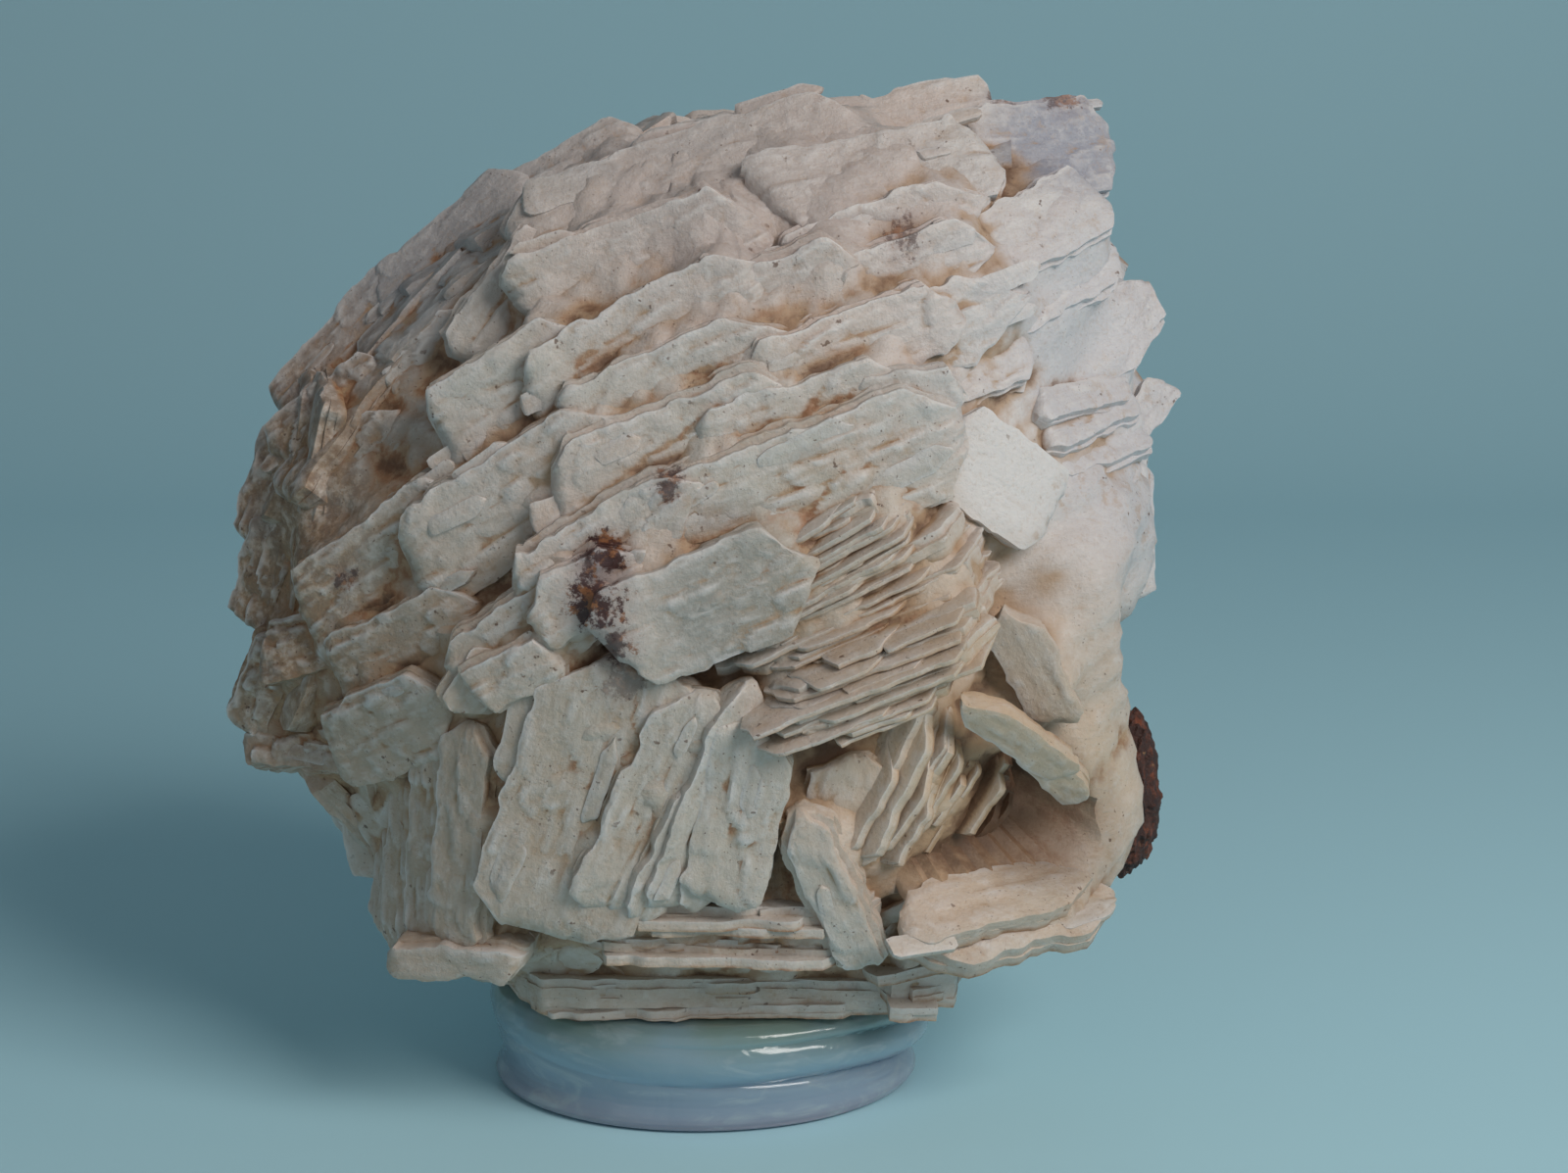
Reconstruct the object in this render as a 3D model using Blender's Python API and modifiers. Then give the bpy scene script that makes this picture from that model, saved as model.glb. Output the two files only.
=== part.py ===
"""Barite: a cluster of cream tabular blades, standing in a milky foot of set glue.

Metres, +Z up.  The foot stands on z = 0 with its middle at the origin, and the cluster's
best side faces -Y.  Most blades are given as they show in the front view: how far across,
how far up and how far towards the viewer their two ends lie, in millimetres.
"""
import math
import random
from typing import NamedTuple

import bmesh
import bpy
from mathutils import Vector

MM = 0.001

# Driving dimensions
FOOT_LENGTH = 0.055
FOOT_DEPTH = 0.046
FOOT_HEIGHT = 0.014
SEAM = 0.0003

# Seeds of the uneven blades and of the uneven lump
BLADE_SEED = 14
MATRIX_SEED = 5

# The front view: its middle stands half way up the cluster, the eye a little above it
VIEW_MIDDLE = Vector((0.0, 0.0, 0.0650))
VIEW_RISE = math.radians(12.0)
VIEW_DISTANCE = 380.0
VIEW_SIDE = 10.4

ACROSS = Vector((1.0, 0.0, 0.0))
UP = Vector((0.0, math.sin(VIEW_RISE), math.cos(VIEW_RISE)))
NEAR = Vector((0.0, -math.cos(VIEW_RISE), math.sin(VIEW_RISE)))

# Corners closer than this (mm) are one, once the blades are joined
MERGE = 0.005

# A blade: corners round its outline, bevel at its rim, and how uneven its corners are
BLADE_CORNERS = 7
BLADE_BEVEL = 1.3
BLADE_UNEVEN = 0.06
# The most of the half thickness and of the half width that a bevel takes
BEVEL_OF_THICK = 0.8
BEVEL_OF_WIDE = 0.45
# Powers that square the outline up, how much longer the bevel runs at the ends, and how
# often a corner, and not a side, stands at the tip
BLADE_SQUARE_ALONG = 0.80
BLADE_SQUARE_ACROSS = 0.75
BLADE_END_BEVEL = 1.6
POINTED_SHARE = 0.45

# The heart of the cluster, hidden behind the blades: outline in the front view (mm), and
# how far each ring is drawn in and stands towards the viewer
HEART_OUTLINE = (
    (-52, 20), (-47, 26), (-40, 34), (-33, 42), (-23, 49), (-10, 55), (6, 58), (23, 58),
    (36, 58), (47, 57), (50, 47), (53, 34), (54, 22), (52, 10), (50, -3), (48, -13),
    (51, -26), (50, -37), (40, -42), (32, -48), (10, -51), (-14, -51), (-26, -48),
    (-37, -44), (-38, -34), (-48, -23), (-53, -16), (-52, -6), (-53, 5),
)
HEART_MIDDLE = (0, 4)
HEART_FRONT = ((0.93, 8.0), (0.80, 17.0), (0.58, 23.0), (0.30, 26.0))
HEART_BACK = ((0.93, -13.0), (0.80, -22.0), (0.58, -29.0), (0.30, -32.0))
HEART_RIM = -2.0
HEART_LEVELS = tuple(reversed(HEART_BACK)) + ((1.0, HEART_RIM),) + HEART_FRONT


class Blade(NamedTuple):
    """One tabular blade.

    tail and tip are the ends of its long axis in the front view: across, up, near (mm).
    lean turns the blade about that axis, in degrees: 0 faces the viewer, 90 lies edge-on.
    An edge-on blade is given by the line of its near edge and reaches back from it.
    """
    name: str
    tail: tuple
    tip: tuple
    wide: float
    thick: float
    lean: float
    on_edge: bool = False


CROWN = (
    Blade("rear_left_low", (-52, 20, -1), (-33, 40, 0), 12, 9, 25),
    Blade("rear_left_middle", (-40, 32, 1), (-20, 49, 2), 14, 9, 30),
    Blade("rear_left_top", (-28, 43, 2), (-6, 56, 1), 12, 8, 30),
    Blade("crown_broad", (-23, 42, 18), (23, 57, 12), 18, 7, 22),
    Blade("crown_top", (-10, 52, 9), (24, 58, 5), 10, 8, 35),
    Blade("crown_right", (7, 48, 19), (37, 54, 12), 13, 7, 20),
    Blade("peak", (18, 57, 5), (37, 61, 1), 8, 7, 20),
    Blade("grey_rimmed", (33, 54, 8), (52, 56, 1), 14, 5, 8),
)
ROWS = (
    Blade("stained_top", (10, 42, 22), (36, 51, 17), 7, 5, 2),
    Blade("stained_middle", (4, 32, 26), (37, 45, 20), 9, 6, -1),
    Blade("stained_low", (10, 27, 28), (41, 39, 20), 9, 6, -1),
    Blade("tongue", (-24, 37, 22), (7, 48, 22), 10, 6, 5),
    Blade("tongue_left", (-30, 29, 17), (-18, 46, 17), 9, 6, 7),
    Blade("diamond", (-39, 22, 11), (-27, 37, 12), 9, 5, 7),
    Blade("third_tip", (-34, 20, 23), (-12, 34, 26), 10.5, 7, 2),
    Blade("third_middle", (-23, 25, 27), (7, 41, 27), 9, 6, 1),
    Blade("third_right", (-2, 35, 27), (20, 43, 26), 7, 5, 1),
    Blade("third_under", (-18, 21, 29), (12, 34, 29), 8.5, 6, -1),
    Blade("third_end", (7, 28, 30), (32, 37, 25), 8, 6, -1),
    Blade("ridge_tip", (-51, -3, 12), (-28, 13, 22), 11.5, 8, 2),
    Blade("ridge_left", (-38, 4, 22), (-10, 22, 30), 10.5, 7, -1),
    Blade("ridge_middle", (-20, 14, 30), (10, 26, 31), 8, 6, -3),
    Blade("ridge_right", (-2, 20, 32), (24, 28, 30), 5.5, 5, -4),
    Blade("fifth_left", (-25, 0, 30), (0, 15, 34), 7, 6, -1),
    Blade("fifth_broad", (-13, 5, 33), (33, 22, 31), 13, 5, -4),
    Blade("fifth_corner", (20, 25, 31), (33, 27, 30), 5, 4, -4),
    Blade("leaf", (-13, -6, 35), (14, 5, 35), 11, 4, -4),
    Blade("leaf_left", (-23, -3, 33), (-8, 5, 35), 6, 4, -4),
    Blade("white_face", (31, 20, 25), (45, 10, 18), 9.5, 4, -10),
    Blade("tan_tip", (-47, -10, 13), (-28, -1, 24), 9, 6, 1),
    Blade("pale_tip", (-47, -19, 10), (-32, -13, 23), 9, 6, -3),
    Blade("seventh", (-33, -11, 25), (-8, 5, 34), 8, 6, -1),
    Blade("small_leaf_a", (-33, -15, 26), (-26, -6, 29), 4.5, 3.5, -3),
    Blade("small_leaf_b", (-30, -12, 29), (-19, -7, 32), 4.5, 3.5, -4),
)
LEFT = (
    Blade("left_high", (-52, 15, 4), (-37, 27, 9), 12, 8, 20),
    Blade("left_inner", (-48, 7, 8), (-36, 21, 13), 11, 8, 20),
    Blade("left_outer", (-55, 5, 0), (-49, 22, 2), 10, 8, 30),
    Blade("left_low", (-56, -5, -2), (-52, 9, 2), 9, 8, 25),
    Blade("left_foot", (-57, -18, -2), (-52, -5, 4), 8, 8, 10),
    Blade("left_heel", (-57, -19, -2), (-39, -21, 10), 9, 6, 10),
    Blade("left_under", (-55, -9, 6), (-42, -6, 12), 9, 7, 10),
)
BUNDLES = (
    Blade("bundle_a", (2, -2, 35), (27, 12, 36), 15, 4.2, 65, True),
    Blade("bundle_b", (2, -6, 35), (31, 10, 35), 15, 4.2, 65, True),
    Blade("bundle_c", (3, -9, 35), (36, 7, 34), 15, 4.2, 65, True),
    Blade("bundle_d", (5, -12, 35), (40, 3, 32), 15, 4.2, 65, True),
    Blade("bundle_e", (10, -12, 34), (41, -1, 31), 15, 4.2, 65, True),
    Blade("bundle_block", (-1, -9, 33), (11, -6, 33), 12, 9, 40, True),
    Blade("overhang_a", (13, -14, 36), (37, -4, 35), 15, 4, 62, True),
    Blade("overhang_b", (9, -17, 37), (39, -6, 36), 15, 4, 62, True),
    Blade("overhang_c", (7, -20, 37), (40, -8, 36), 15, 4, 62, True),
    Blade("overhang_d", (9, -22, 36), (35, -12, 35), 15, 4, 60, True),
)
LOW_FRONT = (
    Blade("big_face", (-20, -44, 20), (-8, -9, 31), 21, 5, 0),
    Blade("big_face_left", (-27, -38, 16), (-17, -13, 27), 12, 5, 14),
    Blade("big_face_right", (-13, -41, 23), (0, -13, 32), 11, 4, -10),
    Blade("onion_a", (-31, -46, 15), (-29, -17, 24), 9, 4, 30),
    Blade("onion_b", (-34, -47, 11), (-33, -18, 20), 10, 4, 40),
    Blade("onion_c", (-37, -48, 7), (-36, -23, 14), 10, 4, 50),
    Blade("onion_d", (-39, -45, 3), (-38, -25, 9), 10, 4, 60),
    Blade("onion_shade", (-41, -37, -6), (-44, -26, -4), 7, 3.5, 20),
    Blade("herringbone_a", (-9, -42, 23), (-1, -24, 29), 6, 4, -35),
    Blade("herringbone_b", (-6, -41, 24), (6, -12, 32), 7, 4, -30),
    Blade("herringbone_c", (-2, -41, 23), (4, -20, 30), 6, 4, -25),
    Blade("herringbone_face", (2, -40, 24), (7, -17, 31), 11, 5, -5),
    Blade("pointed", (21, -48, 18), (12, -28, 28), 7.5, 5, 10),
    Blade("rough_face", (17, -36, 20), (19, -21, 24), 10, 5, 0),
    Blade("fan_a", (20, -39, 25), (32, -14, 29), 6, 3, 32),
    Blade("fan_b", (26, -38, 22), (33, -18, 26), 6, 2.6, 38),
    Blade("fan_c", (30, -37, 18), (37, -20, 22), 6, 2.6, 40),
    Blade("fan_d", (32, -36, 13), (40, -23, 17), 6, 2.6, 40),
    Blade("fan_e", (36, -35, 9), (41, -27, 13), 6, 2.6, 35),
)
UNDER = (
    Blade("sole_top", (-15, -43, 24), (23, -43, 24), 24, 4, 78, True),
    Blade("sole_middle", (-21, -47, 22), (23, -47, 22), 32, 4, 78, True),
    Blade("sole_left", (-38, -48, 14), (-20, -47, 18), 26, 5, 72, True),
    Blade("sole_slab", (-28, -53, 11), (35, -53, 10), 44, 6, 78, True),
    Blade("sole_knuckle", (23, -53, 14), (35, -52, 11), 16, 6, 65, True),
    Blade("sill_top", (27, -42, 24), (50, -38, 12), 15, 4, 62, True),
    Blade("sill_low", (26, -46, 20), (54, -39, 8), 20, 4, 70, True),
    Blade("sill_base", (23, -49, 16), (42, -44, 10), 22, 5, 74, True),
)
RIGHT = (
    Blade("spar", (33, -14, 30), (47, -23, 20), 4.5, 3.5, 35),
    Blade("prop", (45, -17, 18), (40, -4, 23), 7, 4, 20),
    Blade("wall", (52, -40, 3), (50, -11, 9), 15, 8, -50),
    Blade("wall_inner", (48, -38, 7), (47, -15, 12), 9, 6, -30),
    Blade("column", (49, -13, 12), (46, 6, 16), 12, 7, -20),
    Blade("rounded_a", (34, 42, 17), (50, 49, 8), 9, 5, 10),
    Blade("rounded_b", (35, 33, 18), (52, 43, 6), 10, 5, 8),
    Blade("rounded_c", (49, 25, 4), (56, 39, 0), 9.5, 5, 0),
    Blade("rounded_d", (28, 25, 24), (41, 30, 17), 9, 5, 5),
    Blade("white_strip_a", (42, 22, 17), (54, 25, 5), 5, 4, 20),
    Blade("white_strip_b", (43, 18, 16), (55, 23, 4), 5, 4, 20),
    Blade("white_strip_c", (44, 14, 15), (56, 19, 3), 5, 4, 20),
    Blade("white_strip_d", (45, 10, 14), (55, 15, 2), 5, 4, 20),
    Blade("lumpy_high", (51, -5, 4), (53, 16, 2), 11, 8, -25),
    Blade("lumpy_low", (48, 0, 10), (50, 14, 10), 11, 8, -10),
    Blade("spike", (54, 19, -6), (59, 26, -8), 5, 4, 0),
)
BACK_CORNER = (
    Blade("corner_high", (24, 46, -23), (48, 54, -14), 14, 7, -25),
    Blade("corner_middle", (30, 33, -26), (53, 42, -14), 13, 7, -20),
    Blade("corner_low", (34, 18, -27), (55, 27, -13), 13, 7, -16),
)

# The back: rows of blades that follow the same grain as the front (sizes in mm)
GRAIN = math.radians(28.0)
BACK_ROWS = (-42, -30, -18, -6, 6, 18, 30, 42)
BACK_STEP = 29.0
BACK_SHIFT = 4.0
BACK_REACH = (53.0, 55.0)
BACK_EDGE = 0.90
BACK_DEPTH = 34.0
BACK_BLADE = (33.0, 16.0, 6.5)
BACK_PROUD = 2.5
BACK_TURN = 16.0
BACK_FOLLOW = 0.8
BACK_SLOPE_STEP = 6.0
BACK_HALF_LENGTH = (0.42, 0.58)
BACK_WIDTH = (0.8, 1.15)

# The flanks: blades that lie on the heart between the front and the back.  Each row is
# given by its place among the heart's levels and by how many blades stand in it.
FLANK_ROWS = ((2.4, 8), (3.4, 9), (4.4, 7))
FLANK_BLADE = (28.0, 14.0, 5.5)
FLANK_LENGTH = (0.8, 1.1)
FLANK_SHIFT = 0.2
FLANK_PROUD = 1.2
FLANK_TILT = math.radians(12.0)
# The step, round the heart and along its levels, that its slope is measured over
SKIN_STEP = 0.01
# How much a flank blade turns upright where the grain would run straight out
FLANK_UPRIGHT = 0.4

# The matrix lump on the right flank, and the hollow beside the fan of blades
MATRIX_MIDDLE = (53, -26, -5)
MATRIX_RADII = (5.8, 11.5, 11.0)
MATRIX_ROUGHNESS = 0.9
MATRIX_UNEVEN = 0.10
HOLLOW_MIDDLE = (38, -29, 16)
HOLLOW_RADII = (8.0, 12.0, 16.0)
HOLLOW_UNEVEN = 0.15

# The glue foot: its side from the top down (share of the half length, share of the height)
FOOT_PROFILE = (
    (0.0, 1.0), (0.86, 1.0), (1.0, 0.93), (1.045, 0.80), (0.99, 0.68), (1.03, 0.56),
    (1.045, 0.45), (0.97, 0.34), (1.0, 0.22), (0.985, 0.10), (0.90, 0.0), (0.0, 0.0),
)
FOOT_STEPS = 24
FOOT_SWELL = 0.10
FOOT_SWELL_LOW = 0.5

BLADE_COLOUR = (0.62, 0.56, 0.47, 1.0)
MATRIX_COLOUR = (0.10, 0.035, 0.022, 1.0)
GLUE_COLOUR = (0.42, 0.50, 0.58, 1.0)


def front_point(across, up, near):
    """The world place, in metres, of a point given as the front view shows it (mm)."""
    sight = (VIEW_DISTANCE - near) / VIEW_DISTANCE
    true_across = VIEW_SIDE + (across - VIEW_SIDE) * sight
    return VIEW_MIDDLE + (ACROSS * true_across + UP * (up * sight) + NEAR * near) * MM


def remove_everything():
    """Clear the scene's objects."""
    for item in list(bpy.data.objects):
        bpy.data.objects.remove(item, do_unlink=True)


def make_collection(name):
    """A collection of its own under the scene."""
    collection = bpy.data.collections.new(name)
    bpy.context.scene.collection.children.link(collection)
    return collection


def make_material(name, colour, roughness, transmission=0.0):
    """A Principled material of one colour."""
    material = bpy.data.materials.new(name)
    material.use_nodes = True
    shader = material.node_tree.nodes["Principled BSDF"]
    shader.inputs["Base Color"].default_value = colour
    shader.inputs["Roughness"].default_value = roughness
    shader.inputs["Metallic"].default_value = 0.0
    shader.inputs["Transmission Weight"].default_value = transmission
    return material


def mesh_object(name, mesh_builder, collection):
    """An object of the mesh in mesh_builder."""
    mesh = bpy.data.meshes.new(name)
    bmesh.ops.recalc_face_normals(mesh_builder, faces=mesh_builder.faces)
    mesh_builder.to_mesh(mesh)
    mesh_builder.free()
    item = bpy.data.objects.new(name, mesh)
    collection.objects.link(item)
    return item


def hide_cutter(item):
    """Mark an object as a cutter or a guide."""
    item.hide_render = True
    item.display_type = "WIRE"


def blade_frame(blade):
    """Middle, long axis, width axis, face direction and length of a blade, in metres."""
    tail = front_point(*blade.tail)
    tip = front_point(*blade.tip)
    along = (tip - tail).normalized()
    length = (tip - tail).length
    facing = (NEAR - along * NEAR.dot(along)).normalized()
    beside = facing.cross(along)
    lean = math.radians(blade.lean)
    face = facing * math.cos(lean) + beside * math.sin(lean)
    width_axis = beside * math.cos(lean) - facing * math.sin(lean)
    middle = (tail + tip) / 2
    if blade.on_edge:
        middle = middle + width_axis * (math.copysign(blade.wide, blade.lean) * MM / 2)
    return middle, along, width_axis, face, length


def add_blade(name, frame, wide, thick, collection, dice):
    """A tabular blade: a low prism with a knife-edged rim and uneven corners.

    frame is its middle, long axis, width axis, face direction and length, as blade_frame
    gives them.
    """
    middle, along, width_axis, face, length = frame
    solid = bmesh.new()
    bmesh.ops.create_cone(solid, cap_ends=True, segments=BLADE_CORNERS,
                          radius1=1.0, radius2=1.0, depth=2.0)
    uprights = [edge for edge in solid.edges
                if abs(edge.verts[0].co.z - edge.verts[1].co.z) > 1.0]
    bmesh.ops.subdivide_edges(solid, edges=uprights, cuts=1)
    half_length = length / 2
    half_width = wide * MM / 2
    half_thick = thick * MM / 2
    bevel = min(BLADE_BEVEL * MM, half_thick * BEVEL_OF_THICK, half_width * BEVEL_OF_WIDE)
    turn = math.pi / BLADE_CORNERS if dice.random() < POINTED_SHARE else 0.0
    uneven = [1.0 + dice.uniform(-BLADE_UNEVEN, BLADE_UNEVEN) for _ in range(BLADE_CORNERS)]
    for corner in solid.verts:
        round_angle = math.atan2(corner.co.y, corner.co.x)
        spread = uneven[round(round_angle / math.tau * BLADE_CORNERS) % BLADE_CORNERS]
        draw_in = bevel if abs(corner.co.z) > 0.5 else 0.0
        lengthways = (squared(math.cos(round_angle + turn), BLADE_SQUARE_ALONG)
                      * (half_length * spread - draw_in * BLADE_END_BEVEL))
        sideways = (squared(math.sin(round_angle + turn), BLADE_SQUARE_ACROSS)
                    * (half_width * spread - draw_in))
        through = max(-1.0, min(1.0, corner.co.z)) * half_thick
        corner.co = middle + along * lengthways + width_axis * sideways + face * through
    return mesh_object(name, solid, collection)


def squared(value, power):
    """Signed power: under 1 it squares a round outline up."""
    return math.copysign(abs(value) ** power, value)


def add_heart(collection):
    """The hidden heart: its outline stepped in towards the viewer and towards the back."""
    middle_across, middle_up = HEART_MIDDLE
    solid = bmesh.new()
    rings = []
    for share, near in HEART_LEVELS:
        ring = [solid.verts.new(front_point(middle_across + (across - middle_across) * share,
                                            middle_up + (up - middle_up) * share, near))
                for across, up in HEART_OUTLINE]
        rings.append(ring)
    count = len(HEART_OUTLINE)
    for lower, upper in zip(rings, rings[1:]):
        for here in range(count):
            after = (here + 1) % count
            solid.faces.new((lower[here], lower[after], upper[after], upper[here]))
    solid.faces.new(rings[0])
    solid.faces.new(rings[-1])
    return mesh_object("heart", solid, collection)


def back_surface(across, up):
    """How far the back of the cluster stands from the middle plane (mm, negative)."""
    reach = (across / BACK_REACH[0]) ** 2 + ((up - HEART_MIDDLE[1]) / BACK_REACH[1]) ** 2
    return -BACK_DEPTH * math.sqrt(max(0.0, 1.0 - reach))


def back_blades(dice):
    """Rows of blades over the back, along the grain, following its round form."""
    grain = (math.cos(GRAIN), math.sin(GRAIN))
    length, wide, thick = BACK_BLADE
    blades = []
    for row, offset in enumerate(BACK_ROWS):
        reach = math.sqrt(max(0.0, BACK_REACH[1] ** 2 - offset ** 2))
        count = max(1, int(2 * reach / BACK_STEP))
        for number in range(count):
            slide = (number - (count - 1) / 2) * BACK_STEP + dice.uniform(-BACK_SHIFT, BACK_SHIFT)
            across = slide * grain[0] - offset * grain[1]
            up = slide * grain[1] + offset * grain[0] + HEART_MIDDLE[1]
            if math.hypot(across / BACK_REACH[0], up / BACK_REACH[1]) > BACK_EDGE:
                continue
            half = length * dice.uniform(*BACK_HALF_LENGTH)
            ends = []
            for sign in (-1, 1):
                end_across = across + sign * half * grain[0]
                end_up = up + sign * half * grain[1]
                near = 0.5 * (back_surface(end_across, end_up) + back_surface(across, up))
                ends.append((end_across, end_up, near - BACK_PROUD))
            step = BACK_SLOPE_STEP
            rise = (back_surface(across - step * grain[1], up + step * grain[0])
                    - back_surface(across + step * grain[1], up - step * grain[0]))
            lean = -math.degrees(math.atan2(rise, 2 * step)) * BACK_FOLLOW - BACK_TURN
            blades.append(Blade(f"back_{row}_{number}", ends[0], ends[1],
                                wide * dice.uniform(*BACK_WIDTH), thick, lean))
    return blades


def heart_skin(turn, level):
    """A place on the heart, in metres.

    turn runs round the outline from 0 to 1, level along the list of the heart's levels.
    """
    count = len(HEART_OUTLINE)
    corner, part = divmod(turn % 1.0 * count, 1.0)
    here, after = HEART_OUTLINE[int(corner)], HEART_OUTLINE[(int(corner) + 1) % count]
    low, share_up = divmod(level, 1.0)
    (share, near), (next_share, next_near) = HEART_LEVELS[int(low)], HEART_LEVELS[int(low) + 1]
    share += (next_share - share) * share_up
    near += (next_near - near) * share_up
    across, up = (HEART_MIDDLE[axis] + share * (here[axis] + (after[axis] - here[axis]) * part
                                                - HEART_MIDDLE[axis]) for axis in range(2))
    return front_point(across, up, near)


def add_flank_blades(collection, dice):
    """Blades that lie in the skin of the heart's sides, their upper edges a little proud."""
    grain = ACROSS * math.cos(GRAIN) + UP * math.sin(GRAIN)
    upright = UP * math.cos(GRAIN) - ACROSS * math.sin(GRAIN)
    centre = front_point(*HEART_MIDDLE, HEART_RIM)
    length, wide, thick = FLANK_BLADE
    for row, (level, count) in enumerate(FLANK_ROWS):
        for number in range(count):
            turn = (number + 0.5 * (row % 2) + dice.uniform(-FLANK_SHIFT, FLANK_SHIFT)) / count
            place = heart_skin(turn, level)
            onward = heart_skin(turn + SKIN_STEP, level) - place
            forward = heart_skin(turn, level + SKIN_STEP) - place
            out = forward.cross(onward)
            out = out.normalized() if out.dot(place - centre) > 0 else -out.normalized()
            lie = grain + upright * FLANK_UPRIGHT
            along = (lie - out * lie.dot(out)).normalized()
            beside = out.cross(along)
            width_axis = beside * math.cos(FLANK_TILT) + out * math.sin(FLANK_TILT)
            face = out * math.cos(FLANK_TILT) - beside * math.sin(FLANK_TILT)
            middle = place - out * (thick / 2 - FLANK_PROUD) * MM
            frame = (middle, along, width_axis, face, length * dice.uniform(*FLANK_LENGTH) * MM)
            hide_cutter(add_blade(f"flank_{row}_{number}", frame, wide, thick, collection, dice))


def lump(name, middle, radii, collection, unevenness, dice, detail=2):
    """A rough rounded lump, from a sphere whose corners are drawn in by uneven amounts."""
    solid = bmesh.new()
    bmesh.ops.create_icosphere(solid, subdivisions=detail, radius=1.0)
    centre = front_point(*middle)
    for corner in solid.verts:
        push = 1.0 - dice.uniform(0.0, unevenness)
        across, up, near = (corner.co * push)[:]
        corner.co = centre + (ACROSS * across * radii[0] + UP * up * radii[1]
                              + NEAR * near * radii[2]) * MM
    return mesh_object(name, solid, collection)


def bake(item, name, collection):
    """A plain mesh object of what item's modifiers make."""
    graph = bpy.context.evaluated_depsgraph_get()
    graph.update()
    mesh = bpy.data.meshes.new_from_object(item.evaluated_get(graph))
    mesh.name = name
    result = bpy.data.objects.new(name, mesh)
    result.matrix_world = item.matrix_world
    collection.objects.link(result)
    return result


def add_boolean(item, operation, operand=None, group=None):
    """A Boolean modifier against one object or a collection."""
    cut = item.modifiers.new(operation.lower(), "BOOLEAN")
    cut.operation = operation
    cut.solver = "EXACT"
    if group is not None:
        cut.operand_type = "COLLECTION"
        cut.collection = group
    else:
        cut.object = operand
    return cut


def keep_outer_shell(item):
    """Delete sealed voids: only the largest connected shell stays."""
    solid = bmesh.new()
    solid.from_mesh(item.data)
    bmesh.ops.remove_doubles(solid, verts=solid.verts, dist=MERGE * MM)
    bmesh.ops.dissolve_degenerate(solid, edges=solid.edges, dist=MERGE * MM)
    unseen = set(solid.verts)
    shells = []
    while unseen:
        start = unseen.pop()
        shell = {start}
        edge_of_growth = [start]
        while edge_of_growth:
            corner = edge_of_growth.pop()
            for edge in corner.link_edges:
                other = edge.other_vert(corner)
                if other in unseen:
                    unseen.remove(other)
                    shell.add(other)
                    edge_of_growth.append(other)
        shells.append(shell)
    shells.sort(key=len)
    strays = [corner for shell in shells[:-1] for corner in shell]
    bmesh.ops.delete(solid, geom=strays, context="VERTS")
    bmesh.ops.triangulate(solid, faces=solid.faces)
    solid.to_mesh(item.data)
    solid.free()


def box_cutter(name, low, high, collection):
    """A box between two corners, in metres."""
    solid = bmesh.new()
    bmesh.ops.create_cube(solid, size=1.0)
    size = Vector(high) - Vector(low)
    middle = (Vector(high) + Vector(low)) / 2
    for corner in solid.verts:
        corner.co = middle + Vector(corner.co[i] * size[i] for i in range(3))
    cutter = mesh_object(name, solid, collection)
    hide_cutter(cutter)
    return cutter


def make_cluster(parts, cutters, blades_group):
    """All the barite in one solid: the heart, every blade, less the hollow and the foot."""
    dice = random.Random(BLADE_SEED)
    heart = add_heart(cutters)
    hollow = lump("hollow", HOLLOW_MIDDLE, HOLLOW_RADII, cutters, HOLLOW_UNEVEN, dice, detail=1)
    hide_cutter(hollow)
    add_boolean(heart, "DIFFERENCE", hollow)
    hide_cutter(heart)
    carved = bake(heart, "carved_heart", cutters)
    hide_cutter(carved)
    groups = (CROWN, ROWS, LEFT, BUNDLES, LOW_FRONT, UNDER, RIGHT, BACK_CORNER,
              back_blades(dice))
    for group in groups:
        for blade in group:
            hide_cutter(add_blade(blade.name, blade_frame(blade), blade.wide, blade.thick,
                                  blades_group, dice))
    add_flank_blades(blades_group, dice)
    add_boolean(carved, "UNION", group=blades_group)
    grown = bake(carved, "grown", cutters)
    hide_cutter(grown)
    keep_outer_shell(grown)
    below = box_cutter("below", (-0.1, -0.1, -0.05), (0.1, 0.1, FOOT_HEIGHT + SEAM), cutters)
    add_boolean(grown, "DIFFERENCE", below)
    room = lump("matrix_room", MATRIX_MIDDLE, [radius + SEAM / MM for radius in MATRIX_RADII],
                cutters, 0.0, dice)
    hide_cutter(room)
    add_boolean(grown, "DIFFERENCE", room)
    cluster = bake(grown, "barite_cluster", parts)
    keep_outer_shell(cluster)
    cluster.data.materials.clear()
    cluster.data.materials.append(make_material("barite", BLADE_COLOUR, 0.55))
    return cluster


def make_matrix(parts, dice):
    """The rusty lump of matrix, rough inside the room left for it."""
    matrix = lump("rusty_matrix", MATRIX_MIDDLE, MATRIX_RADII, parts, MATRIX_UNEVEN, dice)
    matrix.data.materials.append(make_material("matrix", MATRIX_COLOUR, MATRIX_ROUGHNESS))
    return matrix


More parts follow.
